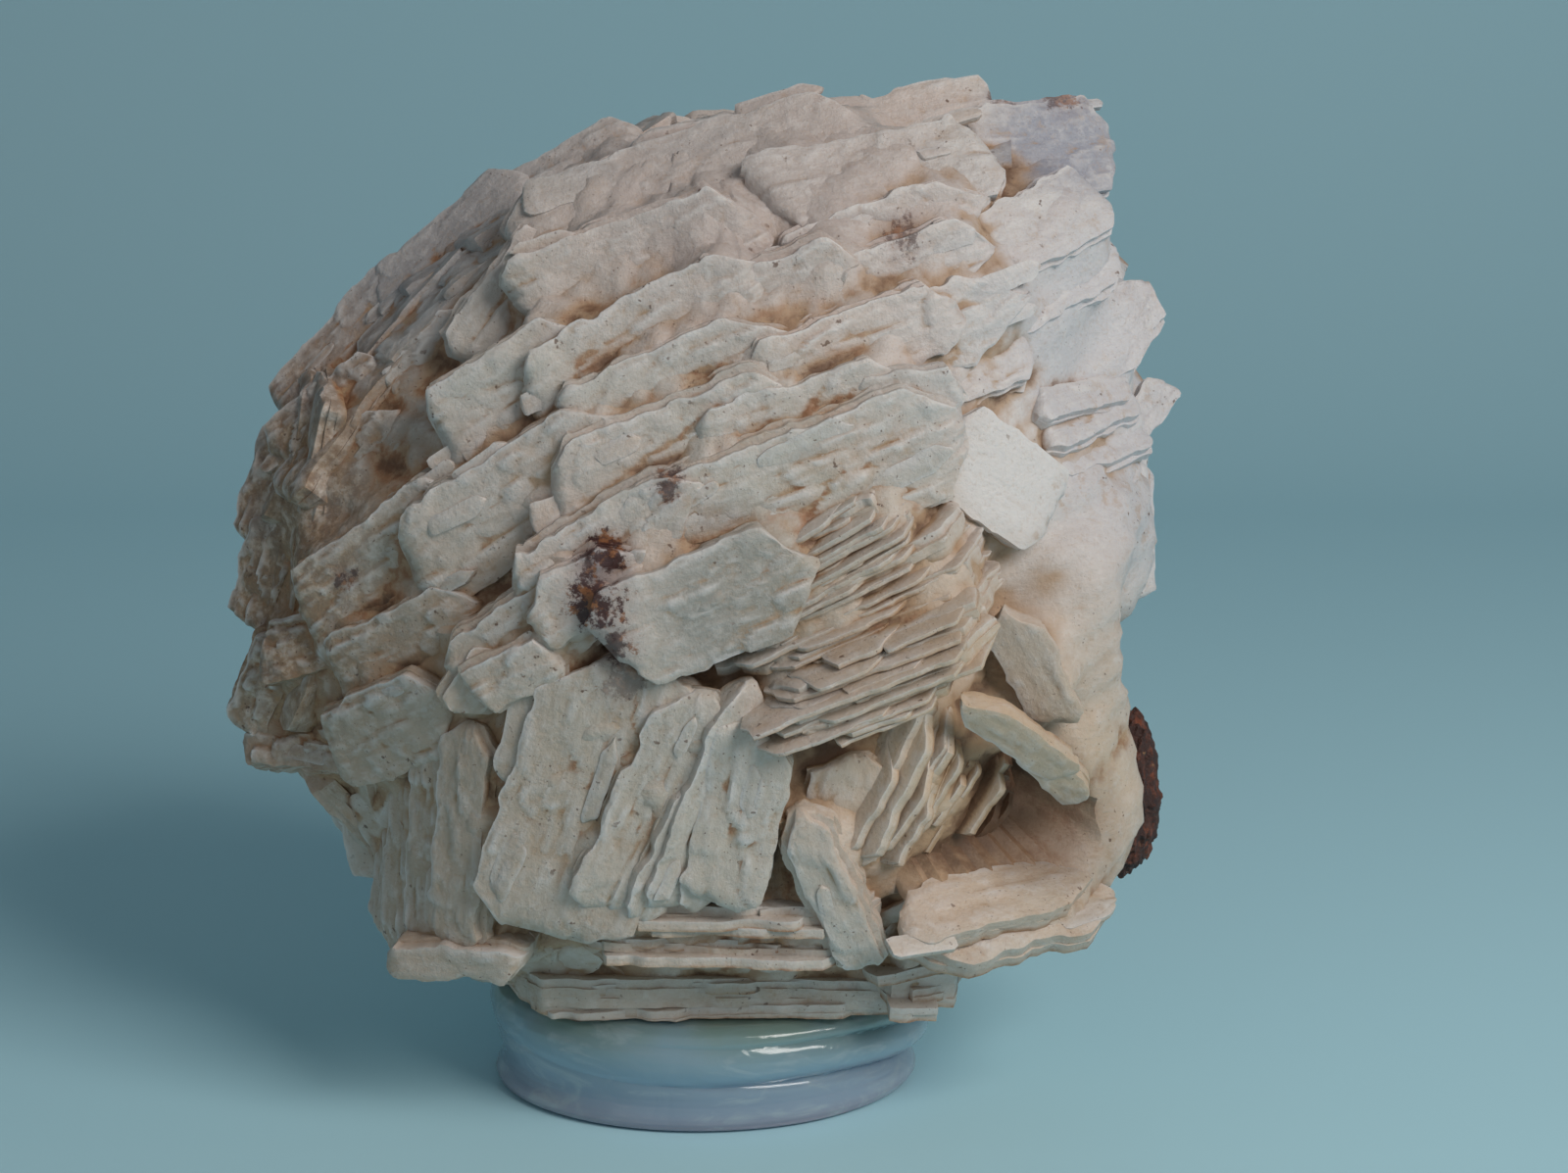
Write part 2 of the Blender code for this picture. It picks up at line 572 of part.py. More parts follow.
def make_foot(parts, cutters):
    """The milky glue foot: a turned blob, oval, with ledges that swell at the right."""
    profile = bmesh.new()
    corners = [profile.verts.new((share * FOOT_LENGTH / 2, 0.0, level * FOOT_HEIGHT))
               for share, level in FOOT_PROFILE]
    for start, end in zip(corners, corners[1:]):
        profile.edges.new((start, end))
    mesh = bpy.data.meshes.new("foot_profile")
    profile.to_mesh(mesh)
    profile.free()
    guide = bpy.data.objects.new("foot_profile", mesh)
    cutters.objects.link(guide)
    turned = guide.modifiers.new("turn", "SCREW")
    turned.axis = "Z"
    turned.steps = FOOT_STEPS
    turned.render_steps = FOOT_STEPS
    turned.use_merge_vertices = True
    turned.merge_threshold = 0.00001
    hide_cutter(guide)
    foot = bake(guide, "glue_foot", parts)
    for corner in foot.data.vertices:
        across, deep, height = corner.co
        level = height / FOOT_HEIGHT
        side = max(0.0, across / (FOOT_LENGTH / 2))
        swell = 1.0 + FOOT_SWELL * side * math.sin(math.pi * min(1.0, level)) * (FOOT_SWELL_LOW + level)
        corner.co = (across * swell, deep * FOOT_DEPTH / FOOT_LENGTH * (1 + (swell - 1) / 2),
                     height)
    foot.data.shade_smooth()
    foot.data.materials.append(make_material("glue", GLUE_COLOUR, 0.15, 0.6))
    return foot


def main():
    """Build the cluster, its matrix and its foot."""
    remove_everything()
    parts = make_collection("barite")
    cutters = make_collection("cutters")
    blades_group = make_collection("blades")
    make_cluster(parts, cutters, blades_group)
    make_matrix(parts, random.Random(MATRIX_SEED))
    make_foot(parts, cutters)


main()
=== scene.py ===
"""The looks of a barite cluster that stands in a milky foot of set glue.

Metres, +Z up.  Every crystal is a closed surface worked out on a grid of two parameters:
how far along the blade, and how far round its cross-section.  The blades are placed by the
front view, as the solid model places them: across, up and towards the viewer, in mm.
"""
import logging
import math
from dataclasses import dataclass, field, replace
from enum import Enum

import bpy
import numpy as np
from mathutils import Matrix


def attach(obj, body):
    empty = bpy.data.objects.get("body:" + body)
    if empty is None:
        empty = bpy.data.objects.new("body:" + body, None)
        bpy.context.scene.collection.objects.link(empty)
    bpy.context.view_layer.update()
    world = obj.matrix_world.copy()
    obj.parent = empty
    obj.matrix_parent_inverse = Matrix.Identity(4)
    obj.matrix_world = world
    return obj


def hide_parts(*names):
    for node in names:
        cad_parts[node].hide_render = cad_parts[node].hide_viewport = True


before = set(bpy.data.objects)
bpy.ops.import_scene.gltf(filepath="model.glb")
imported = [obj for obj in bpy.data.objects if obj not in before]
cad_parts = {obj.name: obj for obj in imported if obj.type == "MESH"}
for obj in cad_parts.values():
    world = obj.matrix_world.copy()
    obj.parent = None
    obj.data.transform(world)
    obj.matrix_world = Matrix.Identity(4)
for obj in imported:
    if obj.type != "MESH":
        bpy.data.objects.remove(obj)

log = logging.getLogger("barite")

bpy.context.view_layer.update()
MM = 0.001


@dataclass(frozen=True)
class FrontView:
    """The view that the blades are placed by, with the eye a little above the cluster."""

    middle: tuple = (0.0, 0.0, 65.0)
    rise: float = math.radians(12.0)
    distance: float = 380.0
    side: float = 10.4
    picture_width: float = 200.0

    def axes(self) -> np.ndarray:
        """Rows: across, up and near, as unit vectors of the world."""
        sine, cosine = math.sin(self.rise), math.cos(self.rise)
        return np.array([[1.0, 0.0, 0.0], [0.0, sine, cosine], [0.0, -cosine, sine]])

    def place(self, seen: np.ndarray) -> np.ndarray:
        """World places of points given as the front view shows them.

        A point that stands nearer is drawn in towards the sight axis by the share of the
        distance that it has come forward.

        Args:
            seen: rows of across, up, near in mm.

        Returns:
            Rows of x, y, z in mm.
        """
        seen = np.asarray(seen, float)
        across, up, near = seen[..., 0], seen[..., 1], seen[..., 2]
        share = (self.distance - near) / self.distance
        local = np.stack([self.side + (across - self.side) * share, up * share, near], -1)
        return np.asarray(self.middle) + local @ self.axes()

    def see(self, world: np.ndarray) -> np.ndarray:
        """The reverse of place: rows of across, up, near of world points in mm."""
        local = (np.asarray(world, float) - np.asarray(self.middle)) @ self.axes().T
        share = (self.distance - local[..., 2]) / self.distance
        across = self.side + (local[..., 0] - self.side) / share
        return np.stack([across, local[..., 1] / share, local[..., 2]], -1)

    def add_camera(self) -> None:
        """The camera at the eye of the front view, framing the picture's width."""
        data = bpy.data.cameras.new("front_view")
        data.sensor_width = 36.0
        data.lens = data.sensor_width * self.distance / self.picture_width
        data.clip_start = 0.01
        camera = bpy.data.objects.new("front_view", data)
        bpy.context.scene.collection.objects.link(camera)
        eye = np.asarray(self.middle) + np.array([self.side, 0.0, self.distance]) @ self.axes()
        camera.location = tuple(eye * MM)
        camera.rotation_euler = (math.pi / 2 - self.rise, 0.0, 0.0)
        bpy.context.scene.camera = camera


VIEW = FrontView()


class Habit(Enum):
    """How a blade's outline closes: width left at the tail, share of the length it takes
    to narrow there, and the same two for the tip."""

    TONGUE = (0.50, 0.16, 0.34, 0.24)
    SLAB = (0.78, 0.08, 0.74, 0.10)
    ARROW = (0.50, 0.14, 0.06, 0.42)
    LENS = (0.10, 0.40, 0.08, 0.44)
    SPLINTER = (0.30, 0.25, 0.02, 0.75)


@dataclass(frozen=True)
class Blade:
    """One tabular blade as the front view shows it.

    tail and tip are the ends of its long axis: across, up, near.  lean turns it about that
    axis: 0 faces the viewer, 90 lies edge-on.  An edge-on blade is given by its near edge.
    A melted one is drawn by the heart's skin alone.
    """

    tail: tuple
    tip: tuple
    wide: float
    thick: float
    lean: float
    on_edge: bool = False
    habit: Habit = Habit.TONGUE
    relief: float = 1.0
    melted: bool = False


@dataclass(frozen=True)
class Placed:
    """A blade in the world, in mm: its middle, three unit axes and its sizes."""

    middle: np.ndarray
    along: np.ndarray
    beside: np.ndarray
    face: np.ndarray
    length: float
    wide: float
    thick: float
    habit: Habit = Habit.TONGUE
    relief: float = 1.0
    melted: bool = False

    @staticmethod
    def of(blade: Blade) -> "Placed":
        """Turn a blade of the front view into the world.

        The face is the view's near direction made square to the long axis, then turned
        about that axis by the lean.
        """
        tail, tip = VIEW.place(np.array([blade.tail, blade.tip]))
        length = float(np.linalg.norm(tip - tail))
        along = (tip - tail) / length
        near = VIEW.axes()[2]
        facing = near - along * (near @ along)
        facing /= np.linalg.norm(facing)
        side = np.cross(facing, along)
        lean = math.radians(blade.lean)
        face = facing * math.cos(lean) + side * math.sin(lean)
        beside = side * math.cos(lean) - facing * math.sin(lean)
        middle = (tail + tip) / 2
        if blade.on_edge:
            middle = middle + beside * math.copysign(blade.wide / 2, blade.lean)
        return Placed(middle, along, beside, face, length, blade.wide, blade.thick,
                      blade.habit, blade.relief, blade.melted)

    def moved(self, along: float, beside: float, face: float) -> "Placed":
        """The same blade slid along its own axes, in mm."""
        shift = self.along * along + self.beside * beside + self.face * face
        return replace(self, middle=self.middle + shift)

    def turned(self, yaw: float, roll: float) -> "Placed":
        """The same blade turned in its own plane by yaw, then about its length by roll."""
        cosine, sine = math.cos(yaw), math.sin(yaw)
        along = self.along * cosine + self.beside * sine
        beside = self.beside * cosine - self.along * sine
        cosine, sine = math.cos(roll), math.sin(roll)
        turned_beside = beside * cosine + self.face * sine
        face = self.face * cosine - beside * sine
        return replace(self, along=along, beside=turned_beside, face=face)


@dataclass
class Patch:
    """A mesh in the making: corners in mm, four-sided and three-sided faces, attributes."""

    corners: np.ndarray
    quads: np.ndarray
    triangles: np.ndarray
    grain: np.ndarray
    groove: np.ndarray
    tint: np.ndarray

    @staticmethod
    def joined(patches: list["Patch"]) -> "Patch":
        """All patches in one, with their face numbers moved on."""
        starts = np.cumsum([0] + [len(patch.corners) for patch in patches[:-1]])
        return Patch(
            np.concatenate([patch.corners for patch in patches]),
            np.concatenate([patch.quads + start for patch, start in zip(patches, starts)]),
            np.concatenate([patch.triangles + start for patch, start in zip(patches, starts)]),
            np.concatenate([patch.grain for patch in patches]),
            np.concatenate([patch.groove for patch in patches]),
            np.concatenate([patch.tint for patch in patches]),
        )

    def triangle_count(self) -> int:
        """How many triangles the patch comes to."""
        return 2 * len(self.quads) + len(self.triangles)


def smooth(value: np.ndarray) -> np.ndarray:
    """A soft step from 0 to 1: 3v^2 - 2v^3 of the clipped value."""
    value = np.clip(value, 0.0, 1.0)
    return value * value * (3.0 - 2.0 * value)


def ragged(where: np.ndarray, pitch: float, dice: np.random.Generator) -> np.ndarray:
    """Uneven steps along a line, between -1 and 1.

    Random heights stand one pitch apart, and each is held flat and then eased into the
    next over the last third of the way.

    Args:
        where: places along the line, in mm.
        pitch: the distance between heights, in mm.
        dice: the source of the heights.

    Returns:
        The height at each place.
    """
    first = float(where.min())
    count = int((float(where.max()) - first) / pitch) + 3
    heights = dice.uniform(-1.0, 1.0, count)
    cell = (where - first) / pitch
    number = np.floor(cell).astype(int)
    ease = smooth((cell - number - 0.62) / 0.38)
    return heights[number] * (1.0 - ease) + heights[number + 1] * ease


def box_mean(values: np.ndarray, reach: int) -> np.ndarray:
    """A running mean over a grid, reach cells to each side, with the borders held."""
    for axis, count in enumerate(values.shape):
        cells = np.arange(count)
        total = sum(np.take(values, np.clip(cells + shift, 0, count - 1), axis=axis)
                    for shift in range(-reach, reach + 1))
        values = total / (2 * reach + 1)
    return values


@dataclass(frozen=True)
class Terraces:
    """The leaves on a blade's face, which lie on it like shingles.

    Each leaf stands proud at its tail end and at its upper edge, where it drops off in a
    bevel, and sinks into the face towards its tip and, in part, towards its lower edge.
    The face is the highest leaf at every point, and small leaves ride on the big ones.
    """

    leaf_length: float = 13.0
    leaf_width: float = 4.4
    height: float = 0.75
    small: float = 0.42
    bevel: float = 0.40

    def layer(self, along: np.ndarray, beside: np.ndarray, length: float, wide: float,
              scale: float, dice: np.random.Generator) -> tuple[np.ndarray, np.ndarray]:
        """The height in mm and the tint, 0 to 1, of one size of leaves at places on a face.

        A leaf's outline is a band between its upper and lower edges, closed at its tail by
        a slanted end, with the corners rounded.
        """
        leaf_length, leaf_width = self.leaf_length * scale, self.leaf_width * scale
        rows = max(2, int(round(wide / (leaf_width * 0.62))))
        columns = max(2, int(round(length / (leaf_length * 0.62))))
        row, column = np.meshgrid(np.arange(rows), np.arange(columns), indexing="ij")
        count = rows * columns
        start = (column + 0.5 * (row % 2) + dice.uniform(-0.45, 0.45, row.shape)) / columns
        middle_x = (start.ravel() - 0.42) * length * 1.1
        middle_y = ((row + 0.5 + dice.uniform(-0.4, 0.4, row.shape)) / rows - 0.5).ravel() * wide
        half_x = leaf_length * dice.uniform(0.30, 0.85, count)
        half_y = leaf_width * dice.uniform(0.34, 0.75, count)
        level = self.height * scale ** 0.8 * dice.uniform(0.35, 1.0, count)
        slant = dice.uniform(-0.9, 0.9, count)
        yaw = dice.normal(0.02, 0.07, count)
        low_part = dice.uniform(0.15, 0.7, count)
        tints = dice.uniform(0.0, 1.0, count)
        highest = np.full(along.shape, 0.30 * self.height * scale ** 0.8)
        tint = np.full(along.shape, 0.5)
        for number in range(count):
            from_x = along - middle_x[number]
            side = beside - middle_y[number] - from_x * yaw[number]
            run = from_x + side * slant[number]
            rounding = half_y[number] * 0.75
            gaps = (half_y[number] - side, half_y[number] + side, (half_x[number] + run) * 0.8)
            short = sum(np.maximum(rounding - gap, 0.0) ** 2 for gap in gaps)
            edge = np.clip((rounding - np.sqrt(short)) / self.bevel, 0.0, 1.0)
            upward = np.clip(gaps[1] / (2.0 * half_y[number]), 0.0, 1.0)
            upward = low_part[number] + (1.0 - low_part[number]) * upward
            onward = 1.0 - smooth(run / half_x[number] * 0.9 + 0.15)
            here = level[number] * upward * onward * edge ** 0.8
            tint = np.where(here > highest, tints[number], tint)
            highest = np.maximum(highest, here)
        return highest, tint

    def relief(self, along: np.ndarray, beside: np.ndarray, length: float, wide: float,
               dice: np.random.Generator) -> tuple[np.ndarray, np.ndarray, np.ndarray]:
        """Height over a blade's face, how proud or sunk each place is, and its tint.

        Args:
            along, beside: a grid of places on the face from its middle, in mm.
            length, wide: the blade's sizes, in mm.
            dice: the source of the leaves.

        Returns:
            The height in mm, 0 on average, and the groove mark: 0 on a proud edge, 0.5 on
            the plain face, 1 at the bottom of a step; and the leaves' tint, 0 to 1.
        """
        height, tint = self.layer(along, beside, length, wide, 1.0, dice)
        more, more_tint = self.layer(along, beside, length, wide, self.small, dice)
        height = height + more
        near_mean = box_mean(height, 2)
        # The groove mark is an occlusion measure. The finish gives sunk places the seam colour, which
        # is partly painted shade, and makes proud places whiter, which is partly painted highlight.
        groove = 0.5 - 1.6 * (height - near_mean) / self.height
        return height - height.mean(), np.clip(groove, 0.0, 1.0), 0.6 * tint + 0.4 * more_tint


@dataclass(frozen=True)
class BladeShape:
    """How finely a blade is drawn, and how uneven it is."""

    step: float = 0.45
    terraces: Terraces = field(default_factory=Terraces)
    edge_wobble: float = 0.36
    edge_pitch: float = 3.8
    lamina: float = 1.3
    lamina_wobble: float = 0.22
    bevel: float = 1.1
    bend: float = 0.012
    twist: float = 0.035
    rim_mark: float = 0.50
    # Underside mark: high, so the finish gives undersides the seam colour, which is partly painted
    # shade under the blade.
    foot_mark: float = 0.88

    def edges(self, s: np.ndarray, blade: Placed, taper: tuple, insets: np.ndarray,
              dice: np.random.Generator) -> np.ndarray:
        """How far each layer of the blade reaches to one side, station by station.

        The half width holds full and then narrows in a straight line to what is left at
        the end.  Slow unevenness is shared by the layers, and each adds its own.
        """
        left_tail, run_tail, left_tip, run_tip = taper
        run_tail, run_tip = np.array([run_tail, run_tip]) * dice.uniform(0.6, 1.5, 2)
        left = np.where(s < 0, left_tail, left_tip)
        run = np.where(s < 0, run_tail, run_tip)
        share = np.minimum(1.0, left + (1.0 - left) * (1.0 - np.abs(s)) / run)
        x = s * blade.length / 2
        size = min(1.0, blade.wide / 6.0)
        common = share * blade.wide / 2 + self.edge_wobble * size * ragged(x, self.edge_pitch, dice)
        common = common + 0.3 * self.edge_wobble * size * ragged(x, 0.4 * self.edge_pitch, dice)
        layers = [common - inset + self.lamina_wobble * size * ragged(x, 2.1, dice)
                  for inset in insets]
        return np.maximum(np.array(layers), 0.06)

    def surface(self, blade: Placed, dice: np.random.Generator) -> Patch:
        """The closed surface of one blade.

        One parameter runs from tail to tip and the other round the cross-section: over the
        face from the lower edge to the upper, down the layered rim, back underneath and up
        the other rim.  Each layer of the rim reaches out by its own uneven amount, and the
        outer layers are drawn in, so the rim is both rounded and stepped.  The terraces
        stand on the face, and the whole blade is bent and twisted a little.
        """
        stations = int(np.clip(blade.length / self.step, 8, 170))
        face_count = int(np.clip(blade.wide / self.step, 4, 60 if blade.relief > 0.5 else 12))
        under_count = max(3, face_count // 6)
        layers = int(np.clip(round(blade.thick / self.lamina), 1, 5))
        sweep = np.linspace(-1.0, 1.0, stations + 2)[1:-1]
        s = np.sin(sweep * 1.25) / math.sin(1.25)

        rim = 2 * layers - 1
        rim_layer = np.repeat(np.arange(layers), 2)[1:]
        rim_level = 1.0 - 2.0 * np.ceil(np.arange(1, 2 * layers) / 2) / layers
        under = np.linspace(1.0, -1.0, under_count)[1:-1]
        t = np.concatenate([np.linspace(-1.0, 1.0, face_count), np.ones(rim), under,
                            -np.ones(rim)])
        layer = np.concatenate([np.zeros(face_count, int), rim_layer,
                                np.full(len(under), layers - 1), rim_layer[::-1]])
        level = np.concatenate([np.ones(face_count), rim_level, -np.ones(len(under)),
                                rim_level[::-1]])

        centres = 1.0 - (2.0 * np.arange(layers) + 1.0) / layers
        bevel = min(self.bevel, blade.wide * 0.15, blade.thick * 0.35)
        insets = bevel * (np.abs(centres) ** 1.6 * 0.5 + dice.uniform(0.0, 0.7, layers))
        upper = self.edges(s, blade, blade.habit.value, insets, dice)[layer].T
        lower = self.edges(s, blade, blade.habit.value, insets, dice)[layer].T
        y = np.where(t > 0, upper, lower) * t
        s_grid = np.broadcast_to(s[:, None], y.shape)
        ends = np.abs(s_grid) ** 4
        slant = dice.uniform(-0.55, 0.55)
        end_wobble = ragged(y.ravel(), 1.6, dice).reshape(y.shape) * 0.45 * ends
        x = s_grid * blade.length / 2 + slant * y * ends + end_wobble

        close = (1.0 - np.abs(s_grid) ** 14) ** 0.5
        z = level * blade.thick / 2 * close
        face = slice(0, face_count)
        height, sunk, leaf = self.terraces.relief(x[:, face], y[:, face], blade.length,
                                                  blade.wide, dice)
        rim_gap = np.clip((1.0 - np.abs(t[face])) * blade.wide / 2 / 0.5, 0.0, 1.0)
        rise = blade.relief * height * close[:, face] * (0.7 + 0.3 * rim_gap)
        rise = rise - 0.12 * (1.0 - rim_gap)
        z[:, face] += np.maximum(rise, 0.12 - z[:, face])
        own = dice.uniform(0.0, 1.0)
        tint = np.full(z.shape, 0.5 * own + 0.25)
        tint[:, face] = 0.5 * own + 0.5 * leaf
        # Groove marks that the finish turns into colour. Undersides are high, so they take the seam
        # colour, partly painted shade. Upper edges are low, so they are whitened: partly paler thin
        # crystal, partly painted highlight where light from above catches them. Lower edges are a
        # little higher, which is painted shade.
        groove = np.full(z.shape, self.rim_mark)
        groove[:, level < -0.99] = self.foot_mark
        groove[:, face] = 0.5 + (sunk - 0.5) * min(1.0, blade.relief + 0.2) * rim_gap
        pale_and_lit_edges = (t[face] > 0) | (blade.relief < 0.4)
        groove[:, face] -= np.where(pale_and_lit_edges, 0.30, -0.10) * (1.0 - rim_gap)
        ridge_gap = np.clip((1.0 - t[face]) * blade.wide / 2 / 2.2, 0.0, 1.0)
        groove[:, face] -= 0.22 * (1.0 - ridge_gap) * min(1.0, blade.relief + 0.2)
        z = z + dice.normal(0.0, self.bend) * blade.length * (s_grid ** 2 - 0.3)
        z = z + dice.normal(0.0, self.twist) * s_grid * y

        local = np.stack([x, y, z], -1)
        end_points = np.stack([local[0].mean(0), local[-1].mean(0)])
        end_points[:, 0] += np.array([-0.25, 0.25])
        local = np.concatenate([local.reshape(-1, 3), end_points])
        world = (blade.middle + local[:, :1] * blade.along + local[:, 1:2] * blade.beside
                 + local[:, 2:] * blade.face)
        quads, triangles = self.faces(stations, len(t))
        offset = dice.uniform(-60.0, 60.0, 3)
        groove = np.concatenate([groove.ravel(), [0.5, 0.5]])
        tint = np.concatenate([tint.ravel(), [own, own]])
        return Patch(world, quads, triangles, local + offset, groove, tint)

    @staticmethod
    def faces(stations: int, loop: int) -> tuple[np.ndarray, np.ndarray]:
        """Faces of rings of corners, each ring joined to the next, and a fan at each end."""
        ring = np.arange(stations - 1)[:, None] * loop
        here = np.arange(loop)[None, :]
        after = (here + 1) % loop
        quads = np.stack([ring + here, ring + after, ring + loop + after, ring + loop + here], -1)
        here, after = here.ravel(), after.ravel()
        tail = np.full(loop, stations * loop)
        last = (stations - 1) * loop
        fans = [np.stack([tail, after, here], -1),
                np.stack([tail + 1, last + here, last + after], -1)]
        return quads.reshape(-1, 4)[:, ::-1], np.concatenate(fans)[:, ::-1]


@dataclass
class SolidField:
    """How much of the space round a point is filled with crystal.

    Space is cut into cells, every blade marks the cells inside its envelope, and the marks
    are blurred with a bell curve.  A ridge has little round it and a crevice much.
    """

    low: np.ndarray
    cell: float
    filled: np.ndarray

    @staticmethod
    def over(low: np.ndarray, high: np.ndarray, cell: float) -> "SolidField":
        """An empty field between two corners, in mm."""
        shape = np.ceil((high - low) / cell).astype(int) + 1
        return SolidField(low, cell, np.zeros(shape, np.float32))

    def mark(self, blade: Placed) -> None:
        """Fill the cells inside a blade: |x|^4 + |y|^4 + |z|^4 under 1 in its own axes."""
        half = np.array([blade.length, blade.wide, blade.thick]) / 2
        axes = np.stack([blade.along, blade.beside, blade.face])
        reach = np.abs(axes.T) @ half
        first = np.maximum(((blade.middle - reach - self.low) / self.cell).astype(int), 0)
        last = ((blade.middle + reach - self.low) / self.cell).astype(int) + 2
        last = np.minimum(last, self.filled.shape)
        spans = [np.arange(first[axis], last[axis]) for axis in range(3)]
        if min(len(span) for span in spans) == 0:
            return
        cells = np.stack(np.meshgrid(*spans, indexing="ij"), -1) * self.cell + self.low
        local = np.abs((cells - blade.middle) @ axes.T) / half
        inside = (local ** 4).sum(-1) < 1.0
        window = tuple(slice(first[axis], last[axis]) for axis in range(3))
        self.filled[window] = np.maximum(self.filled[window], inside)

    def mark_where(self, inside) -> None:
        """Fill the cells whose places pass a test that takes an array of places."""
        spans = [np.arange(count) for count in self.filled.shape]
        cells = np.stack(np.meshgrid(*spans, indexing="ij"), -1) * self.cell + self.low
        self.filled = np.maximum(self.filled, inside(cells).astype(np.float32))

    def clear_where(self, inside) -> None:
        """Empty the cells whose places pass a test that takes an array of places."""
        spans = [np.arange(count) for count in self.filled.shape]
        cells = np.stack(np.meshgrid(*spans, indexing="ij"), -1) * self.cell + self.low
        self.filled = np.where(inside(cells), 0.0, self.filled).astype(np.float32)

    def shell(self, middle: np.ndarray, ways: np.ndarray, level: float,
              far: float = 80.0, step: float = 0.8) -> np.ndarray:
        """How far out the field first passes a level, coming in along each way.

        Args:
            middle: where the ways start, in mm.
            ways: unit directions, one to a row.
            level: the level of the field that counts as crystal.
            far, step: where the march inwards starts and its stride, in mm.

        Returns:
            The distance from the middle along each way, in mm.
        """
        reach = np.zeros(len(ways))
        before = np.zeros(len(ways))
        for radius in np.arange(far, step, -step):
            here = self.at(middle + ways * radius)
            found = (reach == 0.0) & (here >= level)
            share = np.clip((level - before) / np.maximum(here - before, 1e-6), 0.0, 1.0)
            reach = np.where(found, radius + step * (1.0 - share), reach)
            before = here
        return reach

    def blurred(self, spread: float) -> "SolidField":
        """The field blurred by a bell curve of this spread in mm."""
        spectrum = np.fft.rfftn(self.filled)
        for axis, count in enumerate(self.filled.shape):
            rate = np.fft.rfftfreq(count) if axis == 2 else np.fft.fftfreq(count)
            bell = np.exp(-2.0 * (math.pi * rate * spread / self.cell) ** 2)
            shape = [1, 1, 1]
            shape[axis] = len(bell)
            spectrum *= bell.reshape(shape)
        return SolidField(self.low, self.cell, np.fft.irfftn(spectrum, s=self.filled.shape))

    def at(self, places: np.ndarray) -> np.ndarray:
        """The field at places in mm, blended between the eight cells round each."""
        spot = (places - self.low) / self.cell
        limit = np.array(self.filled.shape) - 2
        base = np.clip(np.floor(spot).astype(int), 0, limit)
        part = np.clip(spot - base, 0.0, 1.0)
        total = np.zeros(len(places))
        for corner in range(8):
            step = np.array([corner & 1, corner >> 1 & 1, corner >> 2 & 1])
            weight = np.prod(np.where(step > 0, part, 1.0 - part), axis=1)
            x, y, z = (base + step).T
            total += weight * self.filled[x, y, z]
        return total


# Edges that turn more than this are shaded as sharp ones
CRISP_EDGE = math.radians(42.0)


def add_mesh(name: str, patch: Patch, deep: np.ndarray) -> bpy.types.Object:
    """A mesh object of a patch, smooth, at the origin, in metres.

    Args:
        name: the piece's name.
        patch: the surface in mm.
        deep: how deep in a crevice each corner lies, 0 to 1.

    Returns:
        The new object, linked to the scene.
    """
    mesh = bpy.data.meshes.new(name)
    corners = (patch.corners * MM).astype(np.float32)
    loops = np.concatenate([patch.quads.ravel(), patch.triangles.ravel()]).astype(np.int32)
    totals = np.concatenate([np.full(len(patch.quads), 4), np.full(len(patch.triangles), 3)])
    starts = np.concatenate([[0], np.cumsum(totals)[:-1]])
    mesh.vertices.add(len(corners))
    mesh.vertices.foreach_set("co", corners.ravel())
    mesh.loops.add(len(loops))
    mesh.loops.foreach_set("vertex_index", loops)
    mesh.polygons.add(len(totals))
    mesh.polygons.foreach_set("loop_start", starts.astype(np.int32))
    mesh.polygons.foreach_set("loop_total", totals.astype(np.int32))
    mesh.update(calc_edges=True)
    mesh.polygons.foreach_set("use_smooth", np.ones(len(totals), bool))
    mesh.set_sharp_from_angle(angle=CRISP_EDGE)
    grain = mesh.attributes.new("grain", "FLOAT_VECTOR", "POINT")
    grain.data.foreach_set("vector", patch.grain.astype(np.float32).ravel())
    marks = np.stack([deep, patch.groove, patch.tint, np.ones(len(deep))], -1)
    colour = mesh.attributes.new("marks", "FLOAT_COLOR", "POINT")
    colour.data.foreach_set("color", marks.astype(np.float32).ravel())
    item = bpy.data.objects.new(name, mesh)
    bpy.context.scene.collection.objects.link(item)
    return item


class Wire:
    """A value in a shader graph, which Python's operators work on."""

    def __init__(self, graph: "Graph", socket: bpy.types.NodeSocket) -> None:
        """Wrap an output socket of a graph."""
        self.graph = graph
        self.socket = socket

    def math(self, operation: str, *others: "Wire | float", clamp: bool = False) -> "Wire":
        """One Math node on this value and others."""
        settings = {"operation": operation, "use_clamp": clamp}
        values = dict(enumerate((self, *others)))
        return self.graph.node("ShaderNodeMath", settings, values)

    def __add__(self, other: "Wire | float") -> "Wire":
        """self + other."""
        return self.math("ADD", other)

    __radd__ = __add__

    def __sub__(self, other: "Wire | float") -> "Wire":
        """self - other."""
        return self.math("SUBTRACT", other)

    def __rsub__(self, other: float) -> "Wire":
        """other - self."""
        return self.graph.number(other).math("SUBTRACT", self)

    def __mul__(self, other: "Wire | float") -> "Wire":
        """self times other."""
        return self.math("MULTIPLY", other)

    __rmul__ = __mul__

    def __truediv__(self, other: "Wire | float") -> "Wire":
        """self over other."""
        return self.math("DIVIDE", other)

    def __pow__(self, other: float) -> "Wire":
        """self to the power of other."""
        return self.math("POWER", other)

    def clamped(self) -> "Wire":
        """The value held between 0 and 1."""
        return self.math("ADD", 0.0, clamp=True)

    def step(self, low: float, high: float) -> "Wire":
        """A soft step: 0 below low, 1 above high, and the other way round if high < low."""
        flip = high < low
        settings = {"interpolation_type": "SMOOTHSTEP"}
        values = {"Value": self, "From Min": min(low, high), "From Max": max(low, high),
                  "To Min": 1.0 if flip else 0.0, "To Max": 0.0 if flip else 1.0}
        return self.graph.node("ShaderNodeMapRange", settings, values)


